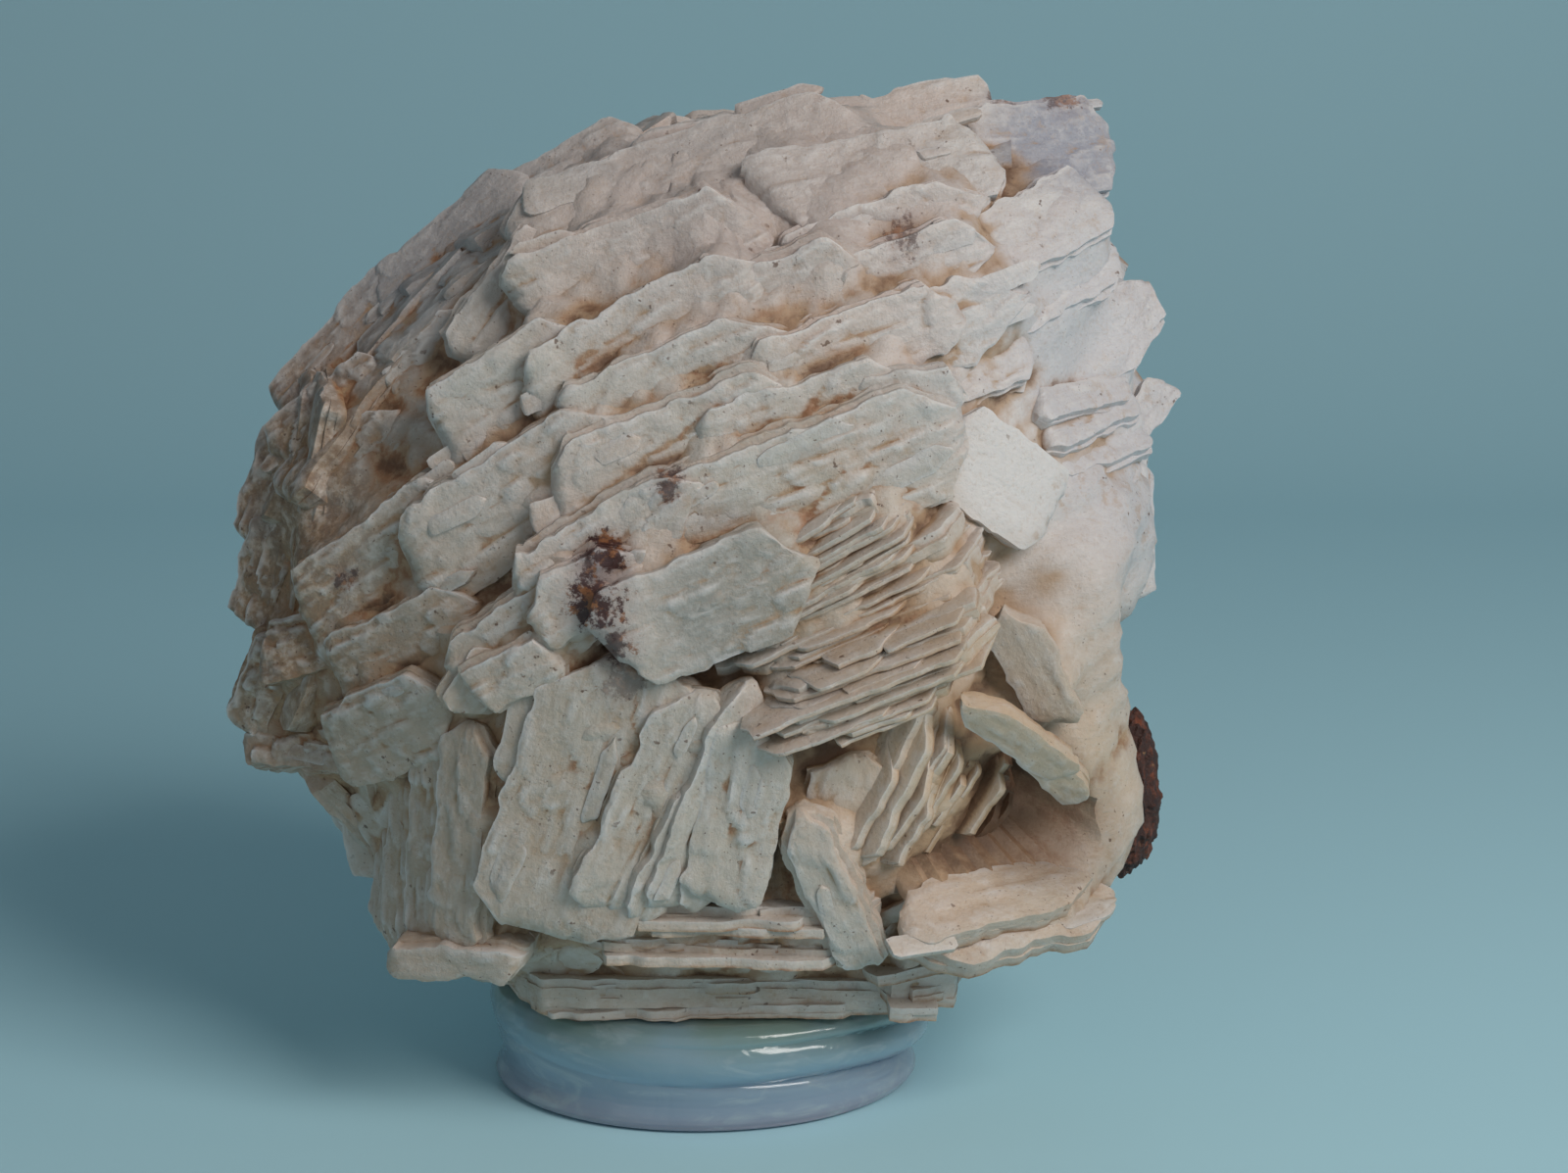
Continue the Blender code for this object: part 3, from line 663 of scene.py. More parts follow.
class Graph:
    """The nodes of one material."""

    def __init__(self, name: str) -> None:
        """A new material with an empty graph and an output."""
        self.material = bpy.data.materials.new(name)
        self.material.use_nodes = True
        self.tree = self.material.node_tree
        self.tree.nodes.clear()
        self.output = self.tree.nodes.new("ShaderNodeOutputMaterial")

    def node(self, kind: str, settings: dict | None = None, values: dict | None = None,
             output: int | str = 0) -> Wire:
        """Any node: its settings first, then the values or links of its sockets.

        Args:
            kind: the node's type.
            settings: its properties, by name; "stops" fills a colour ramp.
            values: numbers, tuples or wires, by socket name or number.
            output: which of its outputs to wrap.

        Returns:
            The output as a wire.
        """
        made = self.tree.nodes.new(kind)
        for name, value in (settings or {}).items():
            if name == "stops":
                self.fill_ramp(made.color_ramp, value)
            else:
                setattr(made, name, value)
        for name, value in (values or {}).items():
            if isinstance(value, Wire):
                self.tree.links.new(value.socket, made.inputs[name])
            else:
                made.inputs[name].default_value = value
        return Wire(self, made.outputs[output])

    @staticmethod
    def fill_ramp(ramp: bpy.types.ColorRamp, stops: tuple) -> None:
        """Set a ramp's stops: pairs of place and colour."""
        while len(ramp.elements) < len(stops):
            ramp.elements.new(1.0)
        for element, (place, colour) in zip(ramp.elements, stops):
            element.position = place
            element.color = (*colour, 1.0)

    def number(self, value: float) -> Wire:
        """A constant."""
        made = self.tree.nodes.new("ShaderNodeValue")
        made.outputs[0].default_value = value
        return Wire(self, made.outputs[0])

    def place(self) -> Wire:
        """Object coordinates."""
        return self.node("ShaderNodeTexCoord", output="Object")

    def attribute(self, name: str) -> Wire:
        """A vector or colour that the mesh carries."""
        return self.node("ShaderNodeAttribute", {"attribute_name": name}, output="Vector")

    def split(self, vector: Wire) -> tuple[Wire, Wire, Wire]:
        """The three parts of a vector."""
        first = self.node("ShaderNodeSeparateXYZ", values={0: vector})
        outputs = first.socket.node.outputs
        return first, Wire(self, outputs[1]), Wire(self, outputs[2])

    def stretch(self, vector: Wire, scale: tuple) -> Wire:
        """A vector times a scale for each axis."""
        return self.node("ShaderNodeVectorMath", {"operation": "MULTIPLY"}, {0: vector, 1: scale})

    def shift(self, vector: Wire, amount: Wire) -> Wire:
        """A vector moved by the same amount along every axis."""
        return self.node("ShaderNodeVectorMath", {"operation": "ADD"}, {0: vector, 1: amount})

    def noise(self, vector: Wire, scale: float, detail: float = 3.0,
              rough: float = 0.55, warp: float = 0.0) -> Wire:
        """Soft noise between 0 and 1."""
        values = {"Vector": vector, "Scale": scale, "Detail": detail, "Roughness": rough,
                  "Distortion": warp}
        return self.node("ShaderNodeTexNoise", values=values)

    def near(self, vector: Wire, spot: tuple, reach: float, depth: float = 1.0) -> Wire:
        """1 at a spot, falling to 0 at its reach; along Y the reach is 1 / depth as long."""
        values = {0: self.stretch(vector, (1.0, depth, 1.0)), 1: (spot[0], spot[1] * depth, spot[2])}
        away = self.node("ShaderNodeVectorMath", {"operation": "DISTANCE"}, values, output="Value")
        return 1 - (away / reach).clamped()

    def cells(self, vector: Wire, scale: float) -> Wire:
        """A random number, 0 to 1, for each cell of a broken-up pattern."""
        made = self.node("ShaderNodeTexVoronoi", values={"Vector": vector, "Scale": scale},
                         output="Color")
        return self.split(made)[0]

    def mix(self, amount: "Wire | float", first: "Wire | tuple", second: "Wire | tuple") -> Wire:
        """A blend of two colours."""
        values = {0: amount}
        for socket, colour in ((6, first), (7, second)):
            values[socket] = colour if isinstance(colour, Wire) else (*colour, 1.0)
        return self.node("ShaderNodeMix", {"data_type": "RGBA"}, values, output=2)

    def bump(self, height: Wire, strength: float, depth: float, normal: Wire | None = None) -> Wire:
        """A bumped normal."""
        values = {"Height": height, "Strength": strength, "Distance": depth}
        if normal is not None:
            values["Normal"] = normal
        return self.node("ShaderNodeBump", values=values)

    def principled(self, values: dict) -> bpy.types.Material:
        """A Principled shader with these sockets, on the output."""
        shader = self.node("ShaderNodeBsdfPrincipled", values=values)
        self.tree.links.new(shader.socket, self.output.inputs["Surface"])
        return self.material


def metres(seen: tuple) -> tuple:
    """The world place in metres of a point of the front view."""
    return tuple(VIEW.place(np.array(seen)) * MM)


@dataclass(frozen=True)
class BariteFinish:
    """Cream barite: frosted, a little translucent, stained in places; ochre in its seams, partly real
    staining and partly painted shade, with painted brown shade deep in its crevices and in the hollow.
    """

    cream: tuple = (0.63, 0.535, 0.475)
    pale: tuple = (0.545, 0.505, 0.455)
    cool: tuple = (0.57, 0.57, 0.61)
    blush: tuple = (0.62, 0.49, 0.43)
    warm: tuple = (0.59, 0.44, 0.30)
    green: tuple = (0.53, 0.455, 0.375)
    dusk: tuple = (0.46, 0.40, 0.385)
    slate: tuple = (0.29, 0.30, 0.36)
    glassy: tuple = (0.31, 0.30, 0.27)
    honey: tuple = (0.46, 0.36, 0.26)
    umber: tuple = (0.46, 0.35, 0.26)
    # mauve: the painted shade of the rear left.
    mauve: tuple = (0.33, 0.31, 0.32)
    white: tuple = (0.70, 0.67, 0.655)
    tan: tuple = (0.42, 0.26, 0.14)
    rust: tuple = (0.27, 0.105, 0.038)
    # brown is also the painted shade of the deep crevices and of the hollow beside the fan.
    brown: tuple = (0.11, 0.050, 0.024)
    stain: tuple = (0.060, 0.018, 0.014)
    plum: tuple = (0.22, 0.15, 0.16)

    def material(self) -> bpy.types.Material:
        """The graph of the finish."""
        g = Graph("barite")
        place = g.place()
        grain = g.attribute("grain")
        deep, groove, tint = g.split(g.attribute("marks"))
        broad = g.noise(place, 38.0, 3.0)
        patch = g.noise(place, 110.0, 4.0, 0.6)
        fine = g.noise(place, 520.0, 4.0, 0.65)
        pits = g.noise(place, 1700.0, 3.0, 0.65)
        streak = g.noise(g.stretch(grain, (0.16, 0.8, 1.0)), 1.0, 4.0, 0.6)
        bent = g.stretch(grain, (0.42, 1.0, 1.0))
        flake = g.cells(g.shift(bent, fine * 1.6), 0.62)
        crumb = g.cells(g.shift(bent, pits * 1.2), 1.7)

        warm_side = (g.near(place, metres((42, -16, 22)), 0.036) * 1.7).clamped()
        green_side = (g.near(place, metres((-16, -34, 20)), 0.038) * 1.7).clamped()
        # Bluish white on the right: partly whiter crystal, partly painted reflection of the blue
        # surroundings on the side that faces the light.
        cool_side = (g.near(place, metres((56, 26, 5)), 0.050) * 1.6).clamped()
        # Painted shade: the rear left, which lies away from the light, is greyed towards mauve.
        rear_left_shade = (g.near(place, metres((-44, 46, -14)), 0.046) * 2.2).clamped()
        tan_side = (g.near(place, metres((-56, 6, 2)), 0.036) * 1.8).clamped()
        white_side = (g.near(place, metres((38, 15, 21)), 0.011) * 2.4).clamped()

        colour = g.mix(broad.step(0.40, 0.62), self.cream, self.pale)
        colour = g.mix(patch.step(0.48, 0.70) * 0.55, colour, self.blush)
        colour = g.mix(tint.step(0.40, 0.85) * 0.65, colour, self.pale)
        colour = g.mix(tint.step(0.55, 0.10) * patch.step(0.35, 0.6) * 0.35, colour, self.tan)
        colour = g.mix(warm_side * 0.8, colour, self.warm)
        colour = g.mix(green_side * 0.7, colour, self.green)
        colour = g.mix(cool_side * 0.75, colour, self.cool)
        for spot, reach, amount, shade in (
                ((4, 50, 14), 34.0, 0.70, self.dusk), ((45, 56, 5), 13.0, 0.95, self.slate),
                ((5, -2, 36), 14.0, 0.85, self.glassy), ((22, 0, 34), 20.0, 0.30, self.honey),
                ((-40, -16, 14), 34.0, 0.75, self.umber), ((-36, -42, 10), 20.0, 0.60, self.umber)):
            side = (g.near(place, metres(spot), reach * MM) * 1.7).clamped()
            colour = g.mix(side * amount, colour, shade)
        colour = g.mix(rear_left_shade * 0.85, colour, self.mauve)
        colour = g.mix(tan_side * patch.step(0.30, 0.55) * 0.75, colour, self.tan)
        colour = g.mix(tan_side * fine.step(0.62, 0.40) * 0.6, colour, self.brown)
        colour = g.mix(streak.step(0.56, 0.78) * 0.25, colour, self.tan)
        colour = g.mix(white_side * 0.85, colour, self.white)
        colour = g.mix(fine.step(0.52, 0.66) * 0.25, colour, self.white)
        colour = g.mix(fine.step(0.47, 0.34) * patch.step(0.45, 0.62) * 0.4, colour, self.tan)
        colour = g.mix(crumb.step(0.60, 1.0) * 0.16, colour, self.white)
        colour = g.mix(pits.step(0.45, 0.36) * 0.16, colour, self.tan)
        # Proud edges whitened: partly paler thin crystal, partly painted highlight on the edges that
        # face the light from above.
        proud = ((0.5 - groove) * 2.4).clamped() * (1 - deep) * (patch.step(0.36, 0.58) * 0.6 + 0.4)
        colour = g.mix(proud * 0.75, colour, self.white)

        # Seam colour: ochre and rust where a place is sunk or lies deep among the blades. This is
        # partly real iron staining and partly painted shade in the crevices.
        seam = (((groove - 0.5) * 1.7).clamped() + deep * 1.1).clamped()
        smooth_side = (g.near(place, metres((6, 50, 14)), 0.032) * 1.7).clamped()
        pale_side = (g.near(place, metres((48, 36, 8)), 0.022) * 1.7).clamped()
        seam = seam * (1 - smooth_side * 0.35) * (1 - pale_side * 0.6)
        seam_stain_and_shade_mask = (seam * (patch * 1.1 + fine * 0.6 + 0.2)).step(0.20, 0.85)
        colour = g.mix(seam_stain_and_shade_mask * 0.8, colour, self.tan)
        colour = g.mix(seam_stain_and_shade_mask * broad.step(0.42, 0.60) * fine.step(0.42, 0.60) * 0.75, colour,
                       self.rust)
        # Painted shade: brown where a place lies deep among the blades.
        dark = (deep * (fine * 0.8 + 0.6)).step(0.50, 1.0)
        colour = g.mix(dark * 0.85, colour, self.brown)
        # Painted shadow: brown in the hollow beside the fan, which the geometry leaves too shallow to
        # fall dark.
        hollow = (g.near(place, metres((41.5, -30.0, 8.0)), 0.013) * 1.7).clamped()
        colour = g.mix(hollow * 0.70, colour, self.brown)

        freckle = g.noise(place, 900.0, 2.0, 0.5).step(0.68, 0.74) * patch.step(0.42, 0.6)
        speck = g.noise(place, 2300.0, 1.0, 0.5).step(0.72, 0.76) * broad.step(0.35, 0.6)
        colour = g.mix(freckle * 0.8, colour, self.brown)
        colour = g.mix(speck * 0.7, colour, self.brown)
        for spot, reach, amount in STAINS:
            halo = g.near(place, metres(spot), reach * MM, 0.4)
            mask = (halo + g.noise(place, 560.0, 5.0, 0.75) * 2.2 - 1.1).step(0.40, 0.66)
            colour = g.mix((halo * 1.6).clamped() * 0.40 * amount, colour, self.plum)
            colour = g.mix(mask * amount, colour, g.mix(fine.step(0.50, 0.60), self.stain, self.rust))

        height = fine * 0.45 + streak * 0.25 + pits * 0.22 + flake * 0.12 + crumb * 0.06
        normal = g.bump(height * (1 - warm_side * 0.3), 0.6, 0.0009)
        rough = 0.32 + 0.22 * patch + 0.20 * pits + 0.10 * seam
        return g.principled({
            "Base Color": colour, "Roughness": rough, "Normal": normal, "IOR": 1.63,
            "Specular IOR Level": 0.42, "Subsurface Weight": 0.15,
            "Subsurface Radius": (1.0, 0.8, 0.6), "Subsurface Scale": 0.0012,
        })


STAINS = (
    ((-13.5, -1.5, 35.0), 6.0, 1.0), ((-12.0, 4.0, 35.0), 4.4, 1.0),
    ((-11.0, -7.0, 34.0), 4.4, 0.8), ((-10.0, -12.0, 32.0), 4.5, 0.45),
    ((25.5, 44.5, 21.0), 4.2, 0.65), ((-4.0, 13.0, 34.0), 3.4, 0.8),
    ((-45.0, 1.5, 17.0), 2.6, 0.8), ((38.0, 61.5, 3.0), 3.0, 0.6),
    ((46.0, 62.5, 3.0), 4.0, 0.7), ((-14.5, 3.0, 35.0), 3.0, 0.8),
)


def smooth_ring(corners: tuple, count: int) -> np.ndarray:
    """A closed outline through corners, rounded by a running average, as count points."""
    corners = np.array(corners, float)
    closed = np.concatenate([corners, corners[:1]])
    run = np.concatenate([[0.0], np.cumsum(np.linalg.norm(np.diff(closed, axis=0), axis=1))])
    where = np.linspace(0.0, run[-1], count, endpoint=False)
    ring = np.stack([np.interp(where, run, closed[:, axis]) for axis in range(2)], -1)
    for _ in range(3):
        ring = (np.roll(ring, 1, 0) + 2.0 * ring + np.roll(ring, -1, 0)) / 4.0
    return ring


@dataclass
class Heart:
    """The mass that the blades grow on, seen only at the bottom of the crevices.

    One parameter runs round its outline in the front view, the other from the middle of
    its back over the rim to the middle of its front.
    """

    outline: tuple = (
        (-52, 20), (-47, 26), (-40, 34), (-33, 42), (-23, 49), (-10, 55), (6, 58), (23, 58),
        (36, 58), (47, 57), (50, 47), (53, 34), (54, 22), (52, 10), (50, -3), (48, -13),
        (51, -26), (50, -37), (40, -42), (32, -48), (10, -51), (-14, -51), (-26, -48),
        (-37, -44), (-38, -34), (-48, -23), (-53, -16), (-52, -6), (-53, 5),
    )
    middle: tuple = (0.0, 4.0)
    shares: tuple = (0.02, 0.30, 0.58, 0.80, 0.93, 1.0, 0.93, 0.80, 0.58, 0.30, 0.02)
    nears: tuple = (-32.5, -32.0, -29.0, -22.0, -13.0, -2.0, 8.0, 17.0, 23.0, 26.0, 26.5)
    hollow: tuple = (41.0, -29.0, 17.0)
    hollow_radii: tuple = (6.5, 8.5, 17.0)
    around: int = 300
    rings: int = 150
    level: float = 0.60
    spread: float = 2.2
    roughness: float = 0.35
    reach: float = 1.05
    flush: tuple = (
        ((49.0, -22.0, 9.0), 20.0, 0.15), ((50.0, 4.0, 10.0), 16.0, 0.18),
        ((4.0, 52.0, 12.0), 32.0, 0.12), ((-50.0, 8.0, 2.0), 20.0, 0.10),
        ((47.0, 39.0, 7.0), 18.0, 0.14),
    )

    def skin(self, turn: np.ndarray, level: np.ndarray) -> np.ndarray:
        """World places on the heart's profile.

        Args:
            turn: how far round the outline, 0 to 1.
            level: how far along the profile, from 0 at the back to 10 at the front.

        Returns:
            Places in mm, one to a row.
        """
        ring = smooth_ring(self.outline, 360)
        ring = np.concatenate([ring, ring[:1]]) - np.array(self.middle)
        knots = np.arange(len(self.shares))
        share = np.interp(level, knots, self.shares)
        spot = np.mod(turn, 1.0) * 360.0
        flat = np.stack([np.interp(spot, np.arange(361), ring[:, axis]) for axis in range(2)], -1)
        seen = flat * share[:, None] + np.array(self.middle)
        return VIEW.place(np.column_stack([seen, np.interp(level, knots, self.nears)]))

    def in_hollow(self, world: np.ndarray) -> np.ndarray:
        """Whether world places in mm lie in the hollow beside the fan."""
        away = (VIEW.see(world) - np.array(self.hollow)) / np.array(self.hollow_radii)
        return (away ** 2).sum(-1) < 1.0

    def surface(self, solid: SolidField) -> Patch:
        """The skin that fills the crevices between the blades.

        Ways run out from the middle on a grid of tilt and turn, and each is followed
        inwards to where the blurred mass of all the blades begins.  Where the cluster is
        melted together, the skin stands flush with the blades.  A low relief runs along
        the grain, over slow waves.
        """
        mass = solid.blurred(self.spread)
        middle = VIEW.place(np.array([*self.middle, -2.0]))
        tilt = np.linspace(0.0, math.pi, self.rings + 2)[1:-1, None]
        turn = np.linspace(0.0, math.tau, self.around, endpoint=False)[None, :]
        ways = np.stack([np.sin(tilt) * np.cos(turn), np.sin(tilt) * np.sin(turn),
                         np.cos(tilt) + 0.0 * turn], -1).reshape(-1, 3)
        first = VIEW.see(middle + ways * mass.shell(middle, ways, self.level)[:, None])
        level = np.full(len(ways), self.level)
        for spot, size, drop in self.flush:
            away = np.linalg.norm(first - np.array(spot), axis=1)
            level -= drop * smooth(2.0 * (1.0 - away / size))
        reach = mass.shell(middle, ways, level)
        seen = VIEW.see(middle + ways * reach[:, None])
        beside = (0.88 * seen[:, 1] - 0.47 * seen[:, 0] + 0.6 * seen[:, 2]) / 2.6
        onward = (0.88 * seen[:, 0] + 0.47 * seen[:, 1]) / 6.0
        wave = beside + 0.35 * np.sin(onward * 2.3) + 0.3 * np.sin(onward * 5.1 + beside)
        reach = reach + self.roughness * (np.mod(wave, 1.0) - 0.5)
        across, up, near = seen.T
        reach += 0.7 * np.sin(0.42 * across + 1.0) * np.sin(0.33 * up + 0.25 * near)
        reach += 0.4 * np.sin(0.9 * up - 0.4 * across) * np.sin(0.8 * near + 0.3 * up + 2.0)
        reach += 0.25 * np.sin(1.3 * across + 0.5 * up) * np.sin(1.1 * near - 0.6 * up)
        ends = np.array([[0.0, 0.0, 1.0], [0.0, 0.0, -1.0]])
        ends = ends * np.array([[reach[:self.around].mean()], [reach[-self.around:].mean()]])
        corners = np.concatenate([middle + ways * reach[:, None], middle + ends])
        quads, triangles = BladeShape.faces(self.rings, self.around)
        # A slightly sunk mark: the heart's skin takes some of the seam colour, partly staining and
        # partly painted shade.
        groove = np.full(len(corners), 0.62)
        tint = np.full(len(corners), 0.4)
        return Patch(corners, quads, triangles, corners.copy(), groove, tint)

    def share(self, seen: np.ndarray) -> np.ndarray:
        """How far out places of the front view lie: 0 in the middle, 1 on the outline."""
        ring = np.array(self.outline, float) - np.array(self.middle)
        angles = np.arctan2(ring[:, 1], ring[:, 0])
        order = np.argsort(angles)
        radius = np.hypot(ring[:, 0], ring[:, 1])[order]
        across = seen[..., 0] - self.middle[0]
        up = seen[..., 1] - self.middle[1]
        reach = np.interp(np.arctan2(up, across), angles[order], radius, period=math.tau)
        return np.hypot(across, up) / reach

    def holds(self, world: np.ndarray) -> np.ndarray:
        """Whether world places in mm lie inside the heart."""
        seen = VIEW.see(world)
        share = self.share(seen)
        half = len(self.shares) // 2
        back = np.interp(share, self.shares[:half + 1], self.nears[:half + 1])
        front = np.interp(share, self.shares[half:][::-1], self.nears[half:][::-1])
        return (share < 1.0) & (seen[..., 2] > back) & (seen[..., 2] < front)

    def kept(self, blades: list["Placed"]) -> list["Placed"]:
        """The blades that the front view's outline covers, shortened where they must be."""
        found = []
        for blade in blades:
            for part in (1.0, 0.8, 0.62):
                short = replace(blade, length=blade.length * part, wide=blade.wide * part ** 0.5)
                corners = [short.middle + short.along * short.length * x + short.beside * short.wide * y
                           for x in (-0.5, 0.5) for y in (-0.5, 0.5)]
                if self.share(VIEW.see(np.array(corners))).max() < self.reach:
                    found.append(short)
                    break
        return found


@dataclass
class BladeGroup:
    """Blades of one part of the cluster, which become one piece.

    Each blade of the list is drawn in full, and small leaves grow on its face.
    """

    name: str
    blades: tuple
    seed: int
    shape: BladeShape = field(default_factory=BladeShape)
    leaves: float = 1.0
    splinters: int = 4
    sunk_core: float = 1.8
    tuck: float = 0.0
    more: list = field(default_factory=list)

    def placed(self) -> list[Placed]:
        """The main blades in the world, edge-on ones split into thin splinters."""
        dice = np.random.default_rng(self.seed)
        found = list(self.more)
        for blade in self.blades:
            main = Placed.of(blade)
            if not blade.on_edge:
                main = replace(main, wide=main.wide + self.tuck).moved(0.0, -self.tuck / 2, 0.0)
            found.extend(self.split(main, dice) if blade.on_edge else [main])
        return found

    def split(self, main: Placed, dice: np.random.Generator) -> list[Placed]:
        """A thick edge-on blade as a stack of thin ones, each slid and turned a little."""
        thin = main.thick / self.splinters
        core = replace(main, length=main.length * 0.94, thick=main.thick * 0.85, relief=0.3)
        stack = [core.moved(0.0, self.sunk_core, 0.0)]
        for number in range(self.splinters):
            level = (number - (self.splinters - 1) / 2) * thin
            share = dice.uniform(0.5, 1.0)
            slide = (1.0 - share) * main.length / 2 * dice.uniform(-0.6, 1.0)
            piece = replace(main, length=main.length * share, thick=thin * dice.uniform(0.8, 1.2),
                            habit=(Habit.ARROW, Habit.SPLINTER)[number % 2], relief=0.3)
            piece = piece.moved(slide, dice.uniform(-0.4, 1.6), level)
            stack.append(piece.turned(dice.normal(0.0, 0.012), dice.normal(0.0, 0.03)))
        return stack

    def leaves_on(self, main: Placed, dice: np.random.Generator) -> list[Placed]:
        """Small leaves on a blade's face and round its rim, lying along it."""
        count = int(self.leaves * main.length * main.wide / 160.0)
        found = []
        for _ in range(count):
            x = dice.uniform(-0.5, 0.5)
            y = dice.uniform(-0.52, 0.52)
            length = float(np.clip(dice.uniform(0.12, 0.36) * main.length, 3.5, 13.0))
            wide = length * dice.uniform(0.22, 0.42)
            lift = main.thick / 2 * (1.0 - abs(2 * y) ** 4 * 0.5) * (1.0 - abs(2 * x) ** 6 * 0.5)
            habit = (Habit.LENS, Habit.ARROW, Habit.TONGUE)[int(dice.integers(3))]
            piece = replace(main, length=length, wide=wide, thick=dice.uniform(0.8, 1.4),
                            habit=habit, relief=0.30)
            piece = piece.moved(x * main.length, y * main.wide, lift - 0.25)
            found.append(piece.turned(dice.normal(0.0, 0.09), dice.normal(-0.10, 0.10)))
        return found

    def build(self) -> tuple[Patch, list[Placed]]:
        """The group's surface and its main blades."""
        dice = np.random.default_rng(self.seed + 1000)
        small = replace(self.shape, step=self.shape.step * 1.25, edge_wobble=0.16)
        mains = self.placed()
        patches = []
        for main in mains:
            if main.melted:
                continue
            patches.append(self.shape.surface(main, dice))
            if main.relief > 0.5:
                for leaf in self.leaves_on(main, dice):
                    patches.append(small.surface(leaf, dice))
        return Patch.joined(patches), mains


# The rear left and the crown
CROWN = (
    Blade((-52, 20, -1), (-33, 40, 0), 12, 9, 25),
    Blade((-40, 32, 1), (-20, 49, 2), 14, 9, 30),
    Blade((-28, 43, 2), (-6, 56, 1), 12, 8, 30),
    Blade((-23, 42, 18), (23, 57, 12), 18, 7, 22),
    Blade((-10, 52, 9), (24, 58, 5), 10, 8, 35),
    Blade((7, 48, 19), (37, 54, 12), 13, 7, 20),
    Blade((18, 57, 5), (37, 61, 1), 8, 7, 20),
    Blade((33, 54, 8), (52, 56, 1), 14, 5, 8),
)
# The shingled rows that rise to the right
ROWS = (
    Blade((10, 42, 22), (36, 51, 17), 7, 5, -8, habit=Habit.ARROW),
    Blade((4, 32, 26), (37, 45, 20), 9, 6, -11, habit=Habit.ARROW),
    Blade((10, 27, 28), (41, 39, 20), 9, 6, -11, habit=Habit.ARROW),
    Blade((-24, 37, 22), (7, 48, 22), 10, 6, -5),
    Blade((-30, 29, 17), (-18, 46, 17), 9, 6, -3),
    Blade((-39, 22, 11), (-27, 37, 12), 9, 5, -3, habit=Habit.ARROW),
    Blade((-34, 20, 23), (-12, 34, 26), 10.5, 7, -8, habit=Habit.ARROW),
    Blade((-23, 25, 27), (7, 41, 27), 9, 6, -9),
    Blade((-2, 35, 27), (20, 43, 26), 7, 5, -9, habit=Habit.LENS),
    Blade((-18, 21, 29), (12, 34, 29), 8.5, 6, -11, habit=Habit.ARROW),
    Blade((7, 28, 30), (32, 37, 25), 8, 6, -11),
    Blade((-51, -3, 12), (-28, 13, 22), 11.5, 8, -8, habit=Habit.ARROW),
    Blade((-38, 4, 22), (-10, 22, 30), 10.5, 7, -11),
    Blade((-20, 14, 30), (10, 26, 31), 8, 6, -13),
    Blade((-2, 20, 32), (24, 28, 30), 5.5, 5, -14),
    Blade((-25, 0, 30), (0, 15, 34), 7, 6, -11, habit=Habit.ARROW),
    Blade((-13, 5, 33), (33, 22, 31), 13, 5, -14),
    Blade((20, 25, 31), (33, 27, 30), 5, 4, -14),
    Blade((-13, -6, 35), (14, 5, 35), 11, 4, -14, habit=Habit.ARROW),
    Blade((-23, -3, 33), (-8, 5, 35), 6, 4, -14, habit=Habit.LENS),
    Blade((31, 20, 25), (45, 10, 18), 9.5, 4, 16, relief=0.3),
    Blade((-47, -10, 13), (-28, -1, 24), 9, 6, -9),
    Blade((-47, -19, 10), (-32, -13, 23), 9, 6, -13),
    Blade((-33, -11, 25), (-8, 5, 34), 8, 6, -11),
    Blade((-33, -15, 26), (-26, -6, 29), 4.5, 3.5, -13, habit=Habit.LENS),
    Blade((-30, -12, 29), (-19, -7, 32), 4.5, 3.5, -14),
)
# The rough brown left flank
LEFT = (
    Blade((-52, 15, 4), (-37, 27, 9), 12, 8, 20),
    Blade((-48, 7, 8), (-36, 21, 13), 11, 8, 20),
    Blade((-55, 5, 0), (-49, 22, 2), 10, 8, 30),
    Blade((-56, -5, -2), (-52, 9, 2), 9, 8, 25),
    Blade((-57, -18, -2), (-52, -5, 4), 8, 8, 10),
    Blade((-57, -19, -2), (-39, -21, 10), 9, 6, 10),
    Blade((-55, -9, 6), (-42, -6, 12), 9, 7, 10),
)
# Thin blades seen edge-on, and the bundle that overhangs the hollow
BUNDLES = (
    Blade((2, -2, 35), (27, 12, 36), 15, 4.2, 65, True),
    Blade((2, -6, 35), (31, 10, 35), 15, 4.2, 65, True),
    Blade((3, -9, 35), (36, 7, 34), 15, 4.2, 65, True),
    Blade((5, -12, 35), (40, 3, 32), 15, 4.2, 65, True),
    Blade((10, -12, 34), (41, -1, 31), 15, 4.2, 65, True),
    Blade((-1, -9, 33), (11, -6, 33), 12, 9, 40, True),
    Blade((13, -14, 36), (37, -4, 35), 15, 4, 62, True),
    Blade((9, -17, 37), (39, -6, 36), 15, 4, 62, True),
    Blade((7, -20, 37), (40, -8, 36), 15, 4, 62, True),
    Blade((9, -22, 36), (35, -12, 35), 15, 4, 60, True),
)
